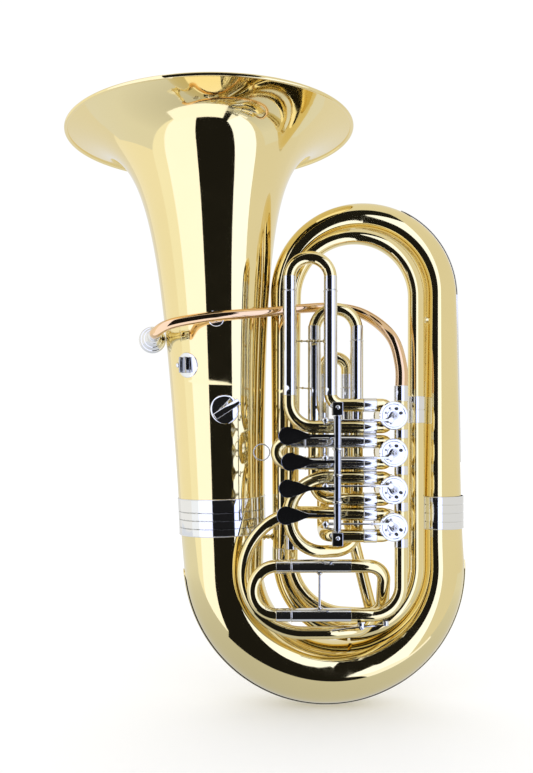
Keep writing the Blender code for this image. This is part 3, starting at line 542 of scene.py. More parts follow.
def make_branches():
    line = bent_route([(BOW_RIGHT_X, 0, BOW_TOP_Z + GAP),
                       (BOW_RIGHT_X, 0, OUTER_TOP_Z, OUTER_BEND_R - 1e-5),
                       (OUTER_LEFT_X, 0, OUTER_TOP_Z, OUTER_BEND_R - 1e-5), (OUTER_LEFT_X, 0, OUTER_END_Z)],
                      math.radians(2.5))
    for order, z in enumerate((0.355, 0.383, 0.45, 0.52, 0.59)):
        line.insert(order + 1, Vector((BOW_RIGHT_X, 0, z)))
    stops = [(0, 0.0363), (0.085, 0.034), (0.22, 0.0305), (0.46, 0.025), (0.64, 0.0218), (1, 0.0186)]
    pipe("outer_branch_tube", line, stops, "brass", nodes="outer_branch", sides=64)
    radii = [taper(stops, place) for place in fractions(line)]
    chosen = [step for step, spot in enumerate(line) if spot.x > 0.2 and spot.z > 0.38]
    strip("top_bow_strip", line, radii, chosen, math.radians(22), "nickel", "top_bow_guard", 0.25)
    line = bent_route([(OUTER_LEFT_X, 0, OUTER_END_Z - GAP),
                       (OUTER_LEFT_X, 0, INNER_BOTTOM_Z, INNER_BOW_BEND_R),
                       (INNER_RIGHT_X, INNER_Y, INNER_BOTTOM_Z, INNER_BOW_BEND_R),
                       (INNER_RIGHT_X, INNER_Y, INNER_JOINT_Z)], math.radians(3))
    pipe("inner_bow_tube", line, [(0, 0.0184), (0.5, 0.0144), (1, 0.0131)], "brass", nodes="inner_bow",
         sides=48)
    line = bent_route([(INNER_RIGHT_X, INNER_Y, INNER_JOINT_Z + GAP),
                       (INNER_RIGHT_X, INNER_Y, INNER_TOP_Z, INNER_BEND_R),
                       (INNER_LEFT_X, INNER_Y, INNER_TOP_Z, INNER_BEND_R),
                       (RETURN_X, INNER_Y, RETURN_JOINT_Z)], math.radians(3))
    pipe("inner_branch_tube", line, [(0, 0.0129), (0.5, 0.0118), (1, 0.0104)], "brass",
         nodes="inner_branch", sides=48)
    line = bent_route([(RETURN_X, INNER_Y, RETURN_JOINT_Z - GAP), (RETURN_X, INNER_Y, RETURN_Z, 0.08),
                       (0.1735, -0.068, RETURN_Z, 0.026), (0.1735, FRONT_Y, MAIN_SLIDE_Z[0], 0.024),
                       (MAIN_SLIDE_RING_X, FRONT_Y, MAIN_SLIDE_Z[0])], math.radians(4))
    pipe("return_pipe", line, [(0, 0.0102), (1, TUBE_R)], "brass", nodes="return_tube", sides=40)
    ferrule("inner_joint", (INNER_RIGHT_X, INNER_Y, 0.4447), Z_AXIS, 0.0413, 0.0142, grooves=(0.5,),
            bead=0.0003)
    ferrule("outer_end_joint", (OUTER_LEFT_X, 0, 0.208), Z_AXIS, 0.04, 0.0196, grooves=(0.5,), bead=0.0003)
    ferrule("return_joint", (RETURN_X, INNER_Y, 0.25), Z_AXIS, 0.022, 0.0114, bead=0.0003)
    z = 0.2645
    edge = BELL_FOOT.x - BELL_LEAN * (BELL_FOOT.z - z) + 0.065
    post("bow_stay", (edge, 0, z), (OUTER_LEFT_X - 0.0186, 0, z), 0.003, "brass", knobs=1)
    start = Vector((INNER_RIGHT_X, INNER_Y, 0.6067))
    run = Vector((BOW_RIGHT_X, 0, 0.6067)) - start
    reach = run.length - 0.0292
    run.normalize()
    post("branch_stay", start + run * 0.0115, start + run * reach, 0.0026, "brass", knobs=1)


# ------------------------------------------------------------------ leadpipe and mouthpiece
def make_leadpipe():
    line = smooth_route([
        (MAIN_LINE_X, FRONT_Y, 0.4814), (MAIN_LINE_X, -0.0995, 0.528), (0.185, -0.084, 0.574),
        (0.15, -0.052, 0.61), (0.105, -0.044, 0.622), (0.05, -0.0565, 0.6185),
        (-0.0022, -0.075, 0.6105), (-0.0699, -0.099, 0.602), (-0.1207, -0.1125, 0.5925),
        (-0.146, -0.1165, 0.585), MOUTH_BASE - MOUTH_AXIS * 0.008, MOUTH_BASE + MOUTH_AXIS * 0.003], 12)
    stops = [(0, 0.0095), (0.25, 0.0082), (0.55, 0.0068), (0.75, 0.0074), (1, 0.0078)]
    pipe("leadpipe_tube", line, stops, "gold", nodes="leadpipe", sides=40, side=X_AXIS)
    ferrule("leadpipe_joint", (MAIN_LINE_X, FRONT_Y, 0.476), Z_AXIS, 0.023, 0.0104, bead=0.0002)
    receiver = [(0.005, 0.0066), (0.005, 0.0082), (0.0056, 0.0086), (0.007, 0.0086), (0.0076, 0.0082),
                (0.018, 0.0081), (0.0186, 0.0085), (0.0196, 0.0085), (0.0202, 0.008), (0.0318, 0.008),
                (0.0324, 0.0088), (0.0334, 0.0093), (0.035, 0.0095), (0.0366, 0.0093), (0.0376, 0.0088),
                (0.038, 0.008), (0.038, 0.0069), (0.03, 0.0066)]
    turned("receiver", receiver, MOUTH_BASE, MOUTH_AXIS, "nickel", nodes="mouthpiece_receiver", loop=True)
    outline = [(0.009, 0.0042), (0.009, 0.0052), (0.0094, 0.0055), (0.0385, 0.0062), (0.048, 0.0066),
               (0.056, 0.0072), (0.062, 0.0082), (0.065, 0.0092), (0.0665, 0.009), (0.068, 0.0093),
               (0.072, 0.011), (0.0764, 0.0131), (0.0768, 0.014), (0.0776, 0.0143), (0.0782, 0.0139),
               (0.082, 0.0158), (0.0866, 0.0176), (0.0871, 0.0186), (0.088, 0.0189), (0.0886, 0.0183),
               (0.091, 0.019), (0.0935, 0.0196), (0.095, 0.0194), (0.0962, 0.0203), (0.098, 0.0211),
               (0.0996, 0.0213), (0.1009, 0.0208), (0.1016, 0.02), (0.1017, 0.019), (0.1014, 0.018),
               (0.1004, 0.0172), (0.098, 0.0165), (0.093, 0.0156), (0.087, 0.014), (0.081, 0.0114),
               (0.076, 0.008), (0.073, 0.0052), (0.071, 0.0041), (0.06, 0.004)]
    turned("mouthpiece_cup", outline, MOUTH_BASE, MOUTH_AXIS, "nickel", "mouthpiece", "mouthpiece", 72,
           True)


# ------------------------------------------------------------------ fittings on the bell
def bell_axes(lean_x, z):
    around = math.asin(lean_x / bell_radius(z))
    out = Vector((math.sin(around), -math.cos(around), 0))
    return bell_centre(z) + out * bell_radius(z), out


def bell_patch(name, lean_x, z, radius, node):
    """A round flange that follows the bell's skin, with a bevelled edge."""
    start = math.asin(lean_x / bell_radius(z))
    sides = 64
    points, rings = [], 0
    for share, lift in ((1.0, 0.0001), (1.0, 0.0007), (0.985, 0.0011), (0.94, 0.0014), (0.85, 0.0014),
                        (0.6, 0.0014), (0.3, 0.0014), (0.001, 0.0014)):
        for index in range(sides):
            angle = 2 * math.pi * index / sides
            level = z + radius * share * math.sin(angle)
            size = bell_radius(level) + lift
            around = start + radius * share * math.cos(angle) / size
            points.append(bell_centre(level) + size * Vector((math.sin(around), -math.cos(around), 0)))
        rings += 1
    fix_normals(piece(name, points, ring_faces(rings, sides), "nickel", nodes=node))


def facing(out, tilt):
    return out.to_track_quat("Y", "Z").to_matrix().to_4x4() @ Matrix.Rotation(tilt, 4, "Y")


def make_bell_fittings():
    spot, out = bell_axes(-0.0424, 0.532)
    bell_patch("lyre_flange", -0.0424, 0.532, 0.019, "lyre_holder")
    turn = facing(out, 0.0)
    across = Vector((-out.y, out.x, 0))
    if across.x > 0:
        across = -across
    for order, shift in enumerate((0.0044, -0.0044)):
        box(f"lyre_cheek_{order}", spot + across * shift + out * 0.0075, (0.0024, 0.0118, 0.0236),
            "chrome", turn)
    box("lyre_floor", spot + out * 0.0028, (0.009, 0.0036, 0.0236), "chrome", turn)
    base = spot + out * 0.0082
    outline = [(0.0034, 0.0001), (0.0034, 0.0015), (0.0068, 0.0015), (0.0068, 0.0024), (0.0074, 0.0028)]
    for angle in range(-50, 91, 14):
        outline.append((0.0102 + 0.0036 * sine(angle), 0.0043 * cosine(angle)))
    turned("lyre_knob", outline, base, across, "nickel", "lyre_screw", "lyre_screw", 32)

    spot, out = bell_axes(0.0131, 0.465)
    bell_patch("thumb_flange", 0.0131, 0.465, 0.022, "thumb_rest")
    box("thumb_post", spot + out * 0.0105, (0.01, 0.019, 0.008), "brass", facing(out, 0.0), bevel=0.0012)
    box("thumb_bar", spot + out * 0.0225, (0.043, 0.0058, 0.0098), "nickel", facing(out, math.radians(33)),
        bevel=0.0009)

    spot, out = bell_axes(0.0042, 0.6005)
    bell_patch("leadpipe_flange", 0.0042, 0.6005, 0.012, "leadpipe_brace")
    post("leadpipe_post", spot + out * 0.001, spot + out * 0.0088, 0.0028, "nickel", knobs=0)


# ------------------------------------------------------------------ valves
def make_valve(number):
    z = VALVE_Z[number - 1]
    tag = f"valve_{number}"
    half = [(0, 0.0165), (0, 0.019), (0.0005, 0.0195), (0.0035, 0.0195), (0.004, 0.019), (0.005, 0.019),
            (0.0055, 0.0194)]
    turned(f"{tag}_casing", mirrored(half, CASING_BACK_Y - CASING_FRONT_Y), (VALVE_X, CASING_FRONT_Y, z),
           Y_AXIS, "brass", nodes=f"valve_casing_{number}", sides=72, loop=True)
    stub = [Vector((MAIN_LINE_X, FRONT_Y, z + rise)) for rise in (-STUB_REACH, 0, STUB_REACH)]
    pipe(f"{tag}_line_stub", stub, TUBE_R, "brass")
    ferrule(f"{tag}_line_joint", (MAIN_LINE_X, FRONT_Y, z - STUB_REACH - 0.0065), Z_AXIS, 0.013, 0.0103,
            bead=0.0002)
    for word, rise in (("low", -PORT_RISE), ("high", PORT_RISE)):
        outline = [(0, 0.0001), (0, TUBE_R), (0.026, TUBE_R)]
        for angle in range(10, 91, 10):
            outline.append((0.026 + 0.015 * sine(angle), TUBE_R * cosine(angle)))
        turned(f"{tag}_{word}_port", outline, (PORT_END_X, FRONT_Y, z + rise), X_AXIS, "brass", sides=40)
        ferrule(f"{tag}_{word}_knuckle", (PORT_END_X - 0.0003, FRONT_Y, z + rise), X_AXIS, 0.0195, 0.0104,
                bead=0.0003)

    front = CASING_FRONT_Y - CAP_FRONT_Y - GAP
    outline = [(0, 0.0046), (0, 0.009), (0.001, 0.0096), (0.001, 0.0162), (0, 0.017), (0, 0.0192),
               (0.0012, CAP_R), (front - 0.0016, CAP_R), (front - 0.001, 0.0199), (front, 0.0199),
               (front, 0.0046)]
    turned(f"{tag}_plate", outline, (VALVE_X, CAP_FRONT_Y, z), Y_AXIS, "nickel",
           nodes=f"bearing_plate_{number}", sides=96, loop=True)
    back = CAP_BACK_Y - CASING_BACK_Y - GAP
    outline = [(0, 0.0001), (0, CAP_R - 0.0004), (0.0004, CAP_R), (back - 0.003, CAP_R),
               (back - 0.0022, CAP_R - 0.0006), (back - 0.0016, 0.015), (back - 0.0008, 0.012),
               (back - 0.0002, 0.006), (back, 0.0001)]
    turned(f"{tag}_cap", outline, (VALVE_X, CASING_BACK_Y + GAP, z), Y_AXIS, "nickel",
           nodes=f"valve_back_cap_{number}", sides=96, knurl=(1, 3, 48, 0.0004))

    side = PIN_SIDE[number - 1]
    pin = Vector((VALVE_X - PIN_OFFSET, 0, z + PIN_OFFSET * side))
    heading = math.atan2(pin.z - z, pin.x - VALVE_X)
    outline = []
    for index in range(21):
        angle = heading + math.pi / 2 + math.pi * index / 20
        outline.append((VALVE_X + 0.0062 * math.cos(angle), z + 0.0062 * math.sin(angle)))
    for index in range(13):
        angle = heading - math.pi / 2 + math.pi * index / 12
        outline.append((pin.x + 0.0034 * math.cos(angle), pin.z + 0.0034 * math.sin(angle)))
    body = f"rotor_{number}"
    slab(f"{tag}_stop_arm", outline, -0.1366, -0.1342, "steel", body, body)
    turned(f"{tag}_spindle", [(0, 0.0001), (0, 0.0036), (0.0004, 0.004), (0.074, 0.004), (0.074, 0.0001)],
           (VALVE_X, -0.1372, z), Y_AXIS, "steel", body, sides=32)
    screw(f"{tag}_arm_screw", (VALVE_X, -0.1371, z), -Y_AXIS, 0.0034, "steel", body, 0.0014, 0.9)
    tip = [(0, 0.0001), (0, 0.0012), (0.0004, 0.0017), (0.0008, 0.0018), (0.0092, 0.0018), (0.0092, 0.0001)]
    turned(f"{tag}_crank_pin", tip, (pin.x, -0.144, pin.z), Y_AXIS, "steel", body, sides=24)
    for order, turn in enumerate((20, 70)):
        angle = math.radians(turn if side < 0 else -turn)
        spot = Vector((VALVE_X + 0.0105 * math.cos(angle), CAP_FRONT_Y, z + 0.0105 * math.sin(angle)))
        outline = [(-0.0036, 0.0001), (-0.0036, 0.002), (-0.0032, 0.0023), (0.0002, 0.0023)]
        turned(f"{tag}_bumper_{order}", outline, spot, Y_AXIS, "cork", sides=20)
    for order, turn in enumerate((118, 160, 250)):
        angle = math.radians(turn * -side)
        spot = Vector((VALVE_X + 0.0118 * math.cos(angle), CAP_FRONT_Y, z + 0.0118 * math.sin(angle)))
        screw(f"{tag}_plate_screw_{order}", spot, -Y_AXIS, 0.0017, "steel", height=0.001,
              slot_turn=order * 1.1)


# ------------------------------------------------------------------ slide tubing
def sleeve(name, start, end, size=TUBE_R + 0.0003):
    """A nickel outer sleeve with a bead at the end where the slide enters."""
    start, end = Vector(start), Vector(end)
    length = (end - start).length
    outline = [(0, TUBE_R - 0.0006), (0, size - 0.0003), (0.0003, size), (length - 0.002, size)]
    outline += bead_arc(length - 0.001, size, 0.0008)
    outline += [(length, size - 0.0004), (length, SLIDE_R + 0.0004), (length - 0.01, SLIDE_R + 0.0004)]
    return turned(name, outline, start, end - start, "nickel", sides=48)


def make_tubing():
    low = [z - PORT_RISE for z in VALVE_Z]
    high = [z + PORT_RISE for z in VALVE_Z]
    port_x = PORT_END_X - GAP
    left, right = SLIDE_1_X
    pipe("tube_1_low", bent_route([(port_x, FRONT_Y, low[0]), (left, FRONT_Y, low[0], 0.036),
                                   (left, FRONT_Y, 0.5)]), TUBE_R, "brass", nodes="valve_1_lower_tube")
    pipe("tube_1_high", bent_route([(port_x, FRONT_Y, high[0]), (right, FRONT_Y, high[0], 0.017),
                                    (right, FRONT_Y, 0.5)]), TUBE_R, "brass", nodes="valve_1_upper_tube")
    for word, x in (("left", left), ("right", right)):
        sleeve(f"sleeve_1_{word}", (x, FRONT_Y, 0.485), (x, FRONT_Y, 0.639))
    for word, z, node in (("high", high[1], "valve_2_upper_tube"), ("low", low[1], "valve_2_lower_tube")):
        pipe(f"tube_2_{word}", bent_route([(port_x, FRONT_Y, z), (0.07, FRONT_Y, z)]), TUBE_R, "nickel",
             nodes=node)
        sleeve(f"sleeve_2_{word}", (port_x, FRONT_Y, z), (SLIDE_2_RING_X, FRONT_Y, z))
    left, right = SLIDE_3_X
    radius = 0.0554
    pipe("tube_3_high", bent_route([
        (port_x, FRONT_Y, high[2]), (0.0335, FRONT_Y, high[2], radius - 1e-4),
        (0.0335, FRONT_Y, high[2] - 2 * radius, radius - 0.0015),
        (right, THIRD_Y, high[2] - 2 * radius, 0.035), (right, THIRD_Y, 0.46)]), TUBE_R, "brass",
        nodes="valve_3_upper_tube")
    pipe("tube_3_low", bent_route([
        (port_x, FRONT_Y, low[2]), (0.12, FRONT_Y, low[2], 0.02), (left, THIRD_Y, low[2], 0.026),
        (left, THIRD_Y, 0.46)]), TUBE_R, "brass", nodes="valve_3_lower_tube")
    for word, x in (("left", left), ("right", right)):
        sleeve(f"sleeve_3_{word}", (x, THIRD_Y, 0.43), (x, THIRD_Y, 0.569))
    left, right = SLIDE_4_X
    radius = 0.0907
    pipe("tube_4_high", bent_route([
        (port_x, FRONT_Y, high[3]), (0.115, FRONT_Y, high[3], 0.04), (0.068, -0.075, high[3], 0.04),
        (-0.0347, -0.075, high[3], radius), (-0.0347, -0.075, high[3] - 2 * radius, radius - 1e-4),
        (0.1, -0.072, high[3] - 2 * radius, 0.05), (0.168, -0.0455, 0.127, 0.03),
        (right, FOURTH_Y, 0.303, 0.08), (right, FOURTH_Y, 0.42)], math.radians(3)), TUBE_R, "brass",
        nodes="valve_4_upper_tube")
    pipe("tube_4_low", bent_route([
        (port_x, FRONT_Y, low[3]), (left, FRONT_Y, low[3], 0.02), (left, FOURTH_Y, low[3], 0.02),
        (left, FOURTH_Y, 0.42)]), TUBE_R, "brass", nodes="valve_4_lower_tube")
    for word, x in (("left", left), ("right", right)):
        sleeve(f"sleeve_4_{word}", (x, FOURTH_Y, 0.39), (x, FOURTH_Y, 0.5))
    lower_z = MAIN_SLIDE_Z[1]
    pipe("main_line_tube", bent_route([
        (MAIN_LINE_X, FRONT_Y, VALVE_Z[3] - STUB_REACH - GAP), (MAIN_LINE_X, FRONT_Y, lower_z, 0.043),
        (0.05, FRONT_Y, lower_z)]), TUBE_R, "brass", nodes="main_lower_tube")
    for word, z in (("high", MAIN_SLIDE_Z[0]), ("low", lower_z)):
        sleeve(f"main_sleeve_{word}", (0.124, FRONT_Y, z), (MAIN_SLIDE_RING_X, FRONT_Y, z))
    base = lower_z - TUBE_R
    box("key_saddle", (0.1382, FRONT_Y, base - 0.0002), (0.011, 0.02, 0.0018), "nickel")
    for side in (-1, 1):
        box(f"key_ear_{side + 1}", (0.1382, FRONT_Y + side * 0.0102, base - 0.0045),
            (0.007, 0.0016, 0.009), "nickel")
    post("slide_1_stay", (0.0435, FRONT_Y, 0.5645), (0.0843, FRONT_Y, 0.5645), 0.0015, "brass", knobs=4)
    post("slide_link_stay", (0.0436, FRONT_Y + 0.004, 0.4965), (0.064, THIRD_Y, 0.4965), 0.0014, "brass",
         knobs=1)
    post("main_slide_stay", (0.078, FRONT_Y, 0.1722), (0.078, FRONT_Y, 0.2245), 0.0024, knobs=0)


def make_slide(body, axis, left, right, leg, ring, join, end, plane):
    """A slide: nickel legs inside the sleeves, a nickel ferrule beyond each ring and a
    brass bow. axis is Z for an upright slide and X for one that lies on its side. leg is
    where the legs start, join where they meet the bow, and end where the bow turns back."""
    def at(along, over):
        return (over, plane, along) if axis == "Z" else (along, plane, over)

    bend = abs(right - left) / 2 - 1e-5
    line = bent_route([at(join, left), (*at(end, left), bend), (*at(end, right), bend), at(join, right)],
                      math.radians(4))
    pipe(f"{body}_bow", line, TUBE_R - 0.0002, "brass", body, body)
    way = 1 if end > join else -1
    for word, over in (("a", left), ("b", right)):
        pipe(f"{body}_leg_{word}", [Vector(at(along, over)) for along in (leg, (leg + join) / 2, join)],
             SLIDE_R, "nickel", body)
        start = Vector(at(ring + way * 0.0006, over))
        stop = Vector(at(join + way * 0.001, over))
        ferrule(f"{body}_cuff_{word}", start, stop - start, (stop - start).length, TUBE_R + 0.0001,
                body=body, wall=0.0018)


def make_slides():
    make_slide("slide_1", "Z", *SLIDE_1_X, 0.515, 0.639, 0.659, 0.6874, FRONT_Y)
    upper, lower = VALVE_Z[1] + PORT_RISE, VALVE_Z[1] - PORT_RISE
    make_slide("slide_2", "X", upper, lower, 0.119, SLIDE_2_RING_X, 0.0365, SLIDE_2_LEFT_X, FRONT_Y)
    make_slide("slide_3", "Z", *SLIDE_3_X, 0.46, 0.569, 0.59, 0.616, THIRD_Y)
    make_slide("slide_4", "Z", *SLIDE_4_X, 0.42, 0.5, 0.52, 0.5463, FOURTH_Y)
    make_slide("main_slide", "X", *MAIN_SLIDE_Z, 0.121, MAIN_SLIDE_RING_X, 0.015, MAIN_SLIDE_LEFT_X,
               FRONT_Y)
    reach = 0.0118
    centre = Vector((SLIDE_2_LEFT_X - SLIDE_BOW_R - GAP - 0.0012 - reach, FRONT_Y, VALVE_Z[1]))
    loop = circle(centre, X_AXIS, Z_AXIS, reach, 48)
    wire("pull_ring", loop, 0.0009, "nickel", "slide_2", "slide_2_ring", 12, True)


# ------------------------------------------------------------------ levers
def make_paddle(number):
    index = number - 1
    body = f"paddle_{number}"
    pad_z = PAD_Z[index]
    pin_z = VALVE_Z[index] + PIN_OFFSET * PIN_SIDE[index]
    low, high = HUB_SPAN[index]
    half = [(0, 0.003), (0, 0.005), (0.0004, 0.0054), (0.0022, 0.0054), (0.0027, 0.0048), (0.0033, 0.0048),
            (0.0038, 0.0053)]
    turned(f"{body}_hub", mirrored(half, high - low), (AXLE_X, AXLE_Y, low), Z_AXIS, "chrome", body, body,
           32, True)
    centre_x = AXLE_X - PAD_REACH[index]
    neck_x = centre_x + 0.034
    outline = [(AXLE_X - 0.0036, pad_z + 0.0019)]
    for step in range(15):
        share = step / 14
        flow = share * share * (3 - 2 * share)
        outline.append((neck_x + (centre_x + 0.0075 - neck_x) * share,
                        pad_z + 0.0024 + (0.0101 - 0.0024) * flow))
    for step in range(1, 32):
        angle = math.radians(53 + 254 * step / 32)
        outline.append((centre_x + PAD_R * math.cos(angle), pad_z + PAD_R * math.sin(angle)))
    outline += [(x, 2 * pad_z - z) for x, z in outline[15::-1]]
    slab(f"{body}_pad", outline, -0.1808, -0.1834, "chrome", body, bevel=0.0006)
    run = [Vector((neck_x - 0.003, AXLE_Y - 0.0018, pad_z)),
           Vector(((neck_x + AXLE_X) / 2, AXLE_Y - 0.0014, pad_z)),
           Vector((AXLE_X - 0.003, AXLE_Y - 0.0008, pad_z))]
    wire(f"{body}_arm", run, 0.002, "chrome", body, sides=16)
    tip = Vector((AXLE_X + ARM_TIP[0], AXLE_Y + ARM_TIP[1], 0))
    arm_z = pin_z - 0.0052
    heading = math.atan2(ARM_TIP[1], ARM_TIP[0])
    middle = Vector((AXLE_X + ARM_TIP[0] / 2, AXLE_Y + ARM_TIP[1] / 2, arm_z))
    box(f"{body}_drive", middle, (math.hypot(*ARM_TIP) + 0.0036, 0.0048, 0.0024), "chrome",
        Matrix.Rotation(heading, 4, "Z"), body, bevel=0.0007)
    outline = [(0, 0.0001), (0, 0.0026), (0.001, 0.0028), (0.0028, 0.0028), (0.0032, 0.0018),
               (0.0086, 0.0018), (0.0092, 0.0022), (0.01, 0.0018), (0.0102, 0.0001)]
    turned(f"{body}_ball_pin", outline, (tip.x, tip.y, arm_z - 0.001), Z_AXIS, "nickel", body, sides=24)

    end_x = VALVE_X - PIN_OFFSET
    body = f"link_rod_{number}"
    eye = [(-0.0032, 0.002), (-0.0032, 0.004)]
    for angle in range(-50, 51, 20):
        eye.append((0.0032 * sine(angle) * 1.15, 0.0012 + 0.004 * cosine(angle)))
    eye += [(0.0032, 0.004), (0.0032, 0.002)]
    turned(f"{body}_eye", eye, (tip.x, tip.y, pin_z), Z_AXIS, "nickel", body, body, 32, True)
    outline = [(0, 0.0001), (0, 0.0022), (0.007, 0.0022), (0.0076, 0.0014), (0.06, 0.0014),
               (0.0606, 0.0022), (0.064, 0.0022), (0.0646, 0.0016), (end_x - tip.x - 0.0065, 0.0016),
               (end_x - tip.x - 0.0065, 0.0001)]
    turned(f"{body}_shaft", outline, (tip.x + 0.0036, tip.y, pin_z), X_AXIS, "nickel", body, sides=24)
    turned(f"{body}_socket", mirrored([(-0.002, 0.0001), (-0.002, 0.0034), (-0.0014, 0.004)]),
           (end_x, tip.y, pin_z), Y_AXIS, "nickel", body, sides=32)


def make_lever_stand():
    low, high = 0.2742, 0.4718
    turned("axle_rod", mirrored([(0, 0.0001), (0, 0.0022), (0.0006, 0.0028)], high - low),
           (AXLE_X, AXLE_Y, low), Z_AXIS, "steel", nodes="lever_axle", sides=24)
    for node, z, post_z in (("lever_bracket_top", 0.4632, 0.4695), ("lever_bracket_bottom", 0.2845, 0.28)):
        box(f"{node}_block", (AXLE_X, AXLE_Y, z), (0.0146, 0.0146, 0.0184), "chrome", nodes=node,
            bevel=0.001)
        turned(f"{node}_post", [(0, 0.0025), (0.062, 0.0025), (0.064, 0.0045), (0.0648, 0.0045)],
               (AXLE_X, AXLE_Y + 0.006, post_z), Y_AXIS, "chrome", sides=24)
        screw(f"{node}_screw", (AXLE_X, AXLE_Y - 0.0073, z + 0.0016), -Y_AXIS, 0.003, "nickel",
              height=0.0014)
    spans = sorted(HUB_SPAN)
    for order, (lower, upper) in enumerate(zip(spans, spans[1:])):
        middle = (lower[1] + upper[0]) / 2
        turned(f"axle_collar_{order}", mirrored([(-0.0014, 0.0028), (-0.0014, 0.0064), (-0.0008, 0.007)]),
               (AXLE_X, AXLE_Y, middle), Z_AXIS, "nickel", sides=32, loop=True)


# ------------------------------------------------------------------ water key
def make_water_key():
    pivot = Vector((0.1382, FRONT_Y, 0.1455))
    turned("key_barrel", mirrored([(-0.0088, 0.0001), (-0.0088, 0.0026), (-0.0082, 0.003)]), pivot, Y_AXIS,
           "nickel", "water_key", "water_key", 32)
    screw("key_screw", pivot - Y_AXIS * 0.011, -Y_AXIS, 0.003, "nickel", height=0.001)
    outline = [(0.095, 0.0016), (0.0962, 0.0034), (0.1, 0.004), (0.106, 0.0036), (0.118, 0.0028),
               (0.1382, 0.0034), (0.156, 0.0026), (0.17, 0.003), (0.176, 0.004), (0.179, 0.0026)]
    outline += [(x, -half) for x, half in outline[::-1]]

    def place(u, v, w):
        fall = 0.1455 + (u - 0.1382) * (0.141 if u < 0.1382 else 0.059)
        return Vector((u, FRONT_Y + v, fall + w))

    slab("key_lever", outline, -0.001, 0.001, "nickel", "water_key", place=place, bevel=0.0005)
    turned("key_cup", mirrored([(0, 0.0001), (0, 0.004), (0.0006, 0.0045)], 0.0068),
           (0.175, FRONT_Y, 0.147), Z_AXIS, "nickel", "water_key", sides=32)
    turned("key_cork", mirrored([(0, 0.0001), (0, 0.0038)], 0.0012), (0.175, FRONT_Y, 0.1536), Z_AXIS,
           "cork", "water_key", sides=24)


make_bell()
make_bottom_bow()
make_branches()
make_leadpipe()
make_bell_fittings()
for valve in (1, 2, 3, 4):
    make_valve(valve)
make_tubing()
make_slides()
for lever in (1, 2, 3, 4):
    make_paddle(lever)
make_lever_stand()
make_water_key()


# ------------------------------------------------------------------ stage, light and camera
def stage_plane(name, corners, colour, strength, shade=False):
    """A floor, or a card that only reflections see."""
    mesh = bpy.data.meshes.new(name)
    mesh.from_pydata(corners, [], [tuple(range(len(corners)))])
    made = bpy.data.objects.new(name, mesh)
    bpy.context.scene.collection.objects.link(made)
    look = bpy.data.materials.new(name)
    look.use_nodes = True
    shader = look.node_tree.nodes["Principled BSDF"]
    shader.inputs["Base Color"].default_value = (*colour, 1) if shade else (0, 0, 0, 1)
    shader.inputs["Roughness"].default_value = 0.9
    shader.inputs["Specular IOR Level"].default_value = 0.0
    shader.inputs["Emission Color"].default_value = (*colour, 1)
    shader.inputs["Emission Strength"].default_value = strength
    mesh.materials.append(look)
    made.visible_glossy = not shade
    made.visible_camera = made.visible_diffuse = made.visible_shadow = made.visible_transmission = shade
    return made


stage_plane("floor", [(x, y, -0.0006) for x, y in ((-30, -30), (30, -30), (30, 30), (-30, 30))],
            (0.93, 0.93, 0.93), 0.16, True)
WHITE = (1.0, 1.0, 1.0)
BLACK = (0.012, 0.012, 0.013)
COOL = (0.72, 0.77, 1.0)
SHADE = (0.86, 0.9, 1.0)
FLOOR_LEFT, FLOOR_RIGHT = -1.7, 1.5
FLOOR_NEAR_Y = -0.17
DARK_Y, DARK_TOP = -1.9, 3.5


def card(name, start, end, colour, strength, high, end_slant=0.0):
    """An upright card between two (x, y) places, whose far end may slant sideways."""
    stage_plane(name, [(*start, 0.0), (*end, 0.0), (end[0] + end_slant, end[1], high), (*start, high)],
                colour, strength)


card("card_left_far", (FLOOR_LEFT, -0.24), (-0.42, -0.24), (0.92, 0.95, 1.0), 1.12, 1.3)
card("card_left_near", (-0.42, -0.24), (-0.152, -0.22), (0.714, 0.754, 1.0), 1.75, 1.3, 0.04)
card("card_right_near", (0.19, -0.4), (0.293, -0.207), (0.595, 0.667, 1.0), 2.1, 0.9)
card("card_right_far", (0.293, -0.207), (FLOOR_RIGHT, -0.207), WHITE, 0.8, 1.6)


def ground(name, low_x, high_x, low_y, high_y, colour, strength, drop):
    """A level card that only reflections see, drop below the standing level."""
    return stage_plane(name, [(low_x, low_y, -drop), (high_x, low_y, -drop), (high_x, high_y, -drop),
                              (low_x, high_y, -drop)], colour, strength)


def painted_shadow_inwards(made, near=0.64, far=0.94, reach=0.95):
    """Makes a floor patch's glow drop from far to near over reach, towards the origin: a painted shadow of
    the instrument on the floor, as reflections see it.
    """
    tree = made.active_material.node_tree
    nodes, links = tree.nodes, tree.links
    where = nodes.new("ShaderNodeTexCoord")
    turn = nodes.new("ShaderNodeMapping")
    turn.inputs["Scale"].default_value = (1 / reach, 1 / reach, 1 / reach)
    links.new(where.outputs["Object"], turn.inputs["Vector"])
    fade = nodes.new("ShaderNodeTexGradient")
    fade.gradient_type = "SPHERICAL"
    links.new(turn.outputs["Vector"], fade.inputs["Vector"])
    level = nodes.new("ShaderNodeMapRange")
    level.inputs["To Min"].default_value = far
    level.inputs["To Max"].default_value = near
    links.new(fade.outputs["Fac"], level.inputs["Value"])
    links.new(level.outputs["Result"], nodes["Principled BSDF"].inputs["Emission Strength"])


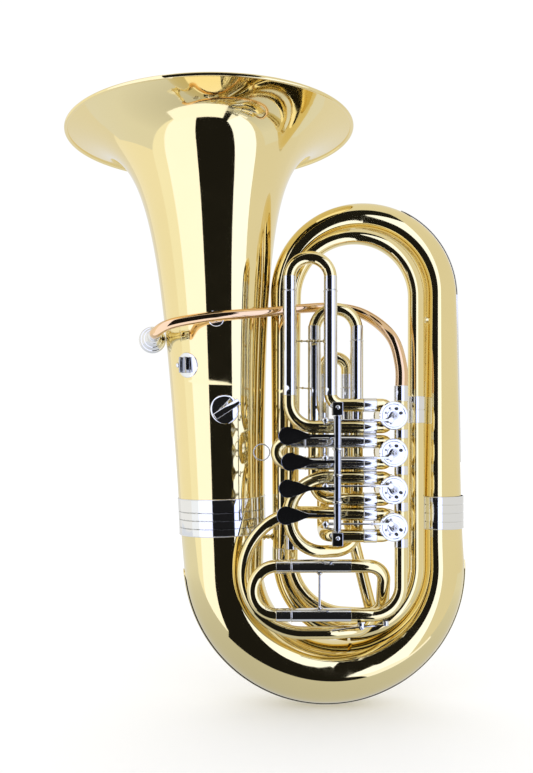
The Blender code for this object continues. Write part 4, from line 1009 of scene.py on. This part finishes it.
ground("dark_floor", FLOOR_LEFT, FLOOR_RIGHT, DARK_Y, FLOOR_NEAR_Y, BLACK, 1.0, 0.0004)
ground("bright_floor", 0.19, 0.4, -0.42, FLOOR_NEAR_Y, COOL, 1.6, 0.0003)
# painted shadow: floor patches seen only in reflections, their glow lower near the instrument where its
# shadow falls
for patch, low_x, high_x, low_y, high_y in (("", FLOOR_LEFT, FLOOR_RIGHT, FLOOR_NEAR_Y, 1.2),
                                            ("_left", FLOOR_LEFT, -0.152, -0.24, FLOOR_NEAR_Y),
                                            ("_right", 0.4, FLOOR_RIGHT, -0.207, FLOOR_NEAR_Y)):
    painted_shadow_inwards(ground(f"shaded_floor{patch}", low_x, high_x, low_y, high_y, SHADE, 0.72, 0.0002))
ground("bell_card", -0.28, 0.015, -0.236, -0.112, COOL, 1.7, -0.5)
stage_plane("dark_front", [(-5, DARK_Y, -0.1), (FLOOR_RIGHT, DARK_Y, -0.1), (FLOOR_RIGHT, DARK_Y, DARK_TOP),
                           (-5, DARK_Y, DARK_TOP)], BLACK, 1.0)
FAR = 6.0
WALL_LEVEL = 0.82
SQUARE = ((-FAR, -FAR), (FAR, -FAR), (FAR, FAR), (-FAR, FAR))
for side, level in ((-1, 0.97), (1, 0.8)):
    stage_plane(f"wall_x_{side + 1}", [(side * FAR, y, z) for y, z in SQUARE], WHITE, level)
    stage_plane(f"wall_y_{side + 1}", [(x, side * FAR, z) for x, z in SQUARE], WHITE, WALL_LEVEL)
    stage_plane(f"wall_z_{side + 1}", [(x, y, side * FAR) for x, y in SQUARE], WHITE, WALL_LEVEL)

world = bpy.data.worlds.new("studio")
bpy.context.scene.world = world
world.use_nodes = True
world.node_tree.nodes["Background"].inputs["Color"].default_value = (1, 1, 1, 1)
world.node_tree.nodes["Background"].inputs["Strength"].default_value = 1.02

bpy.context.scene.view_settings.view_transform = "Standard"
lens = bpy.data.cameras.new("camera")
lens.lens = 38.04916
lens.sensor_width = 36.0
lens.shift_y = 0.0562743
camera = bpy.data.objects.new("camera", lens)
bpy.context.scene.collection.objects.link(camera)
camera.location = (0.0, -1.3, 0.434)
camera.rotation_euler = (math.radians(90), 0, 0)
bpy.context.scene.camera = camera
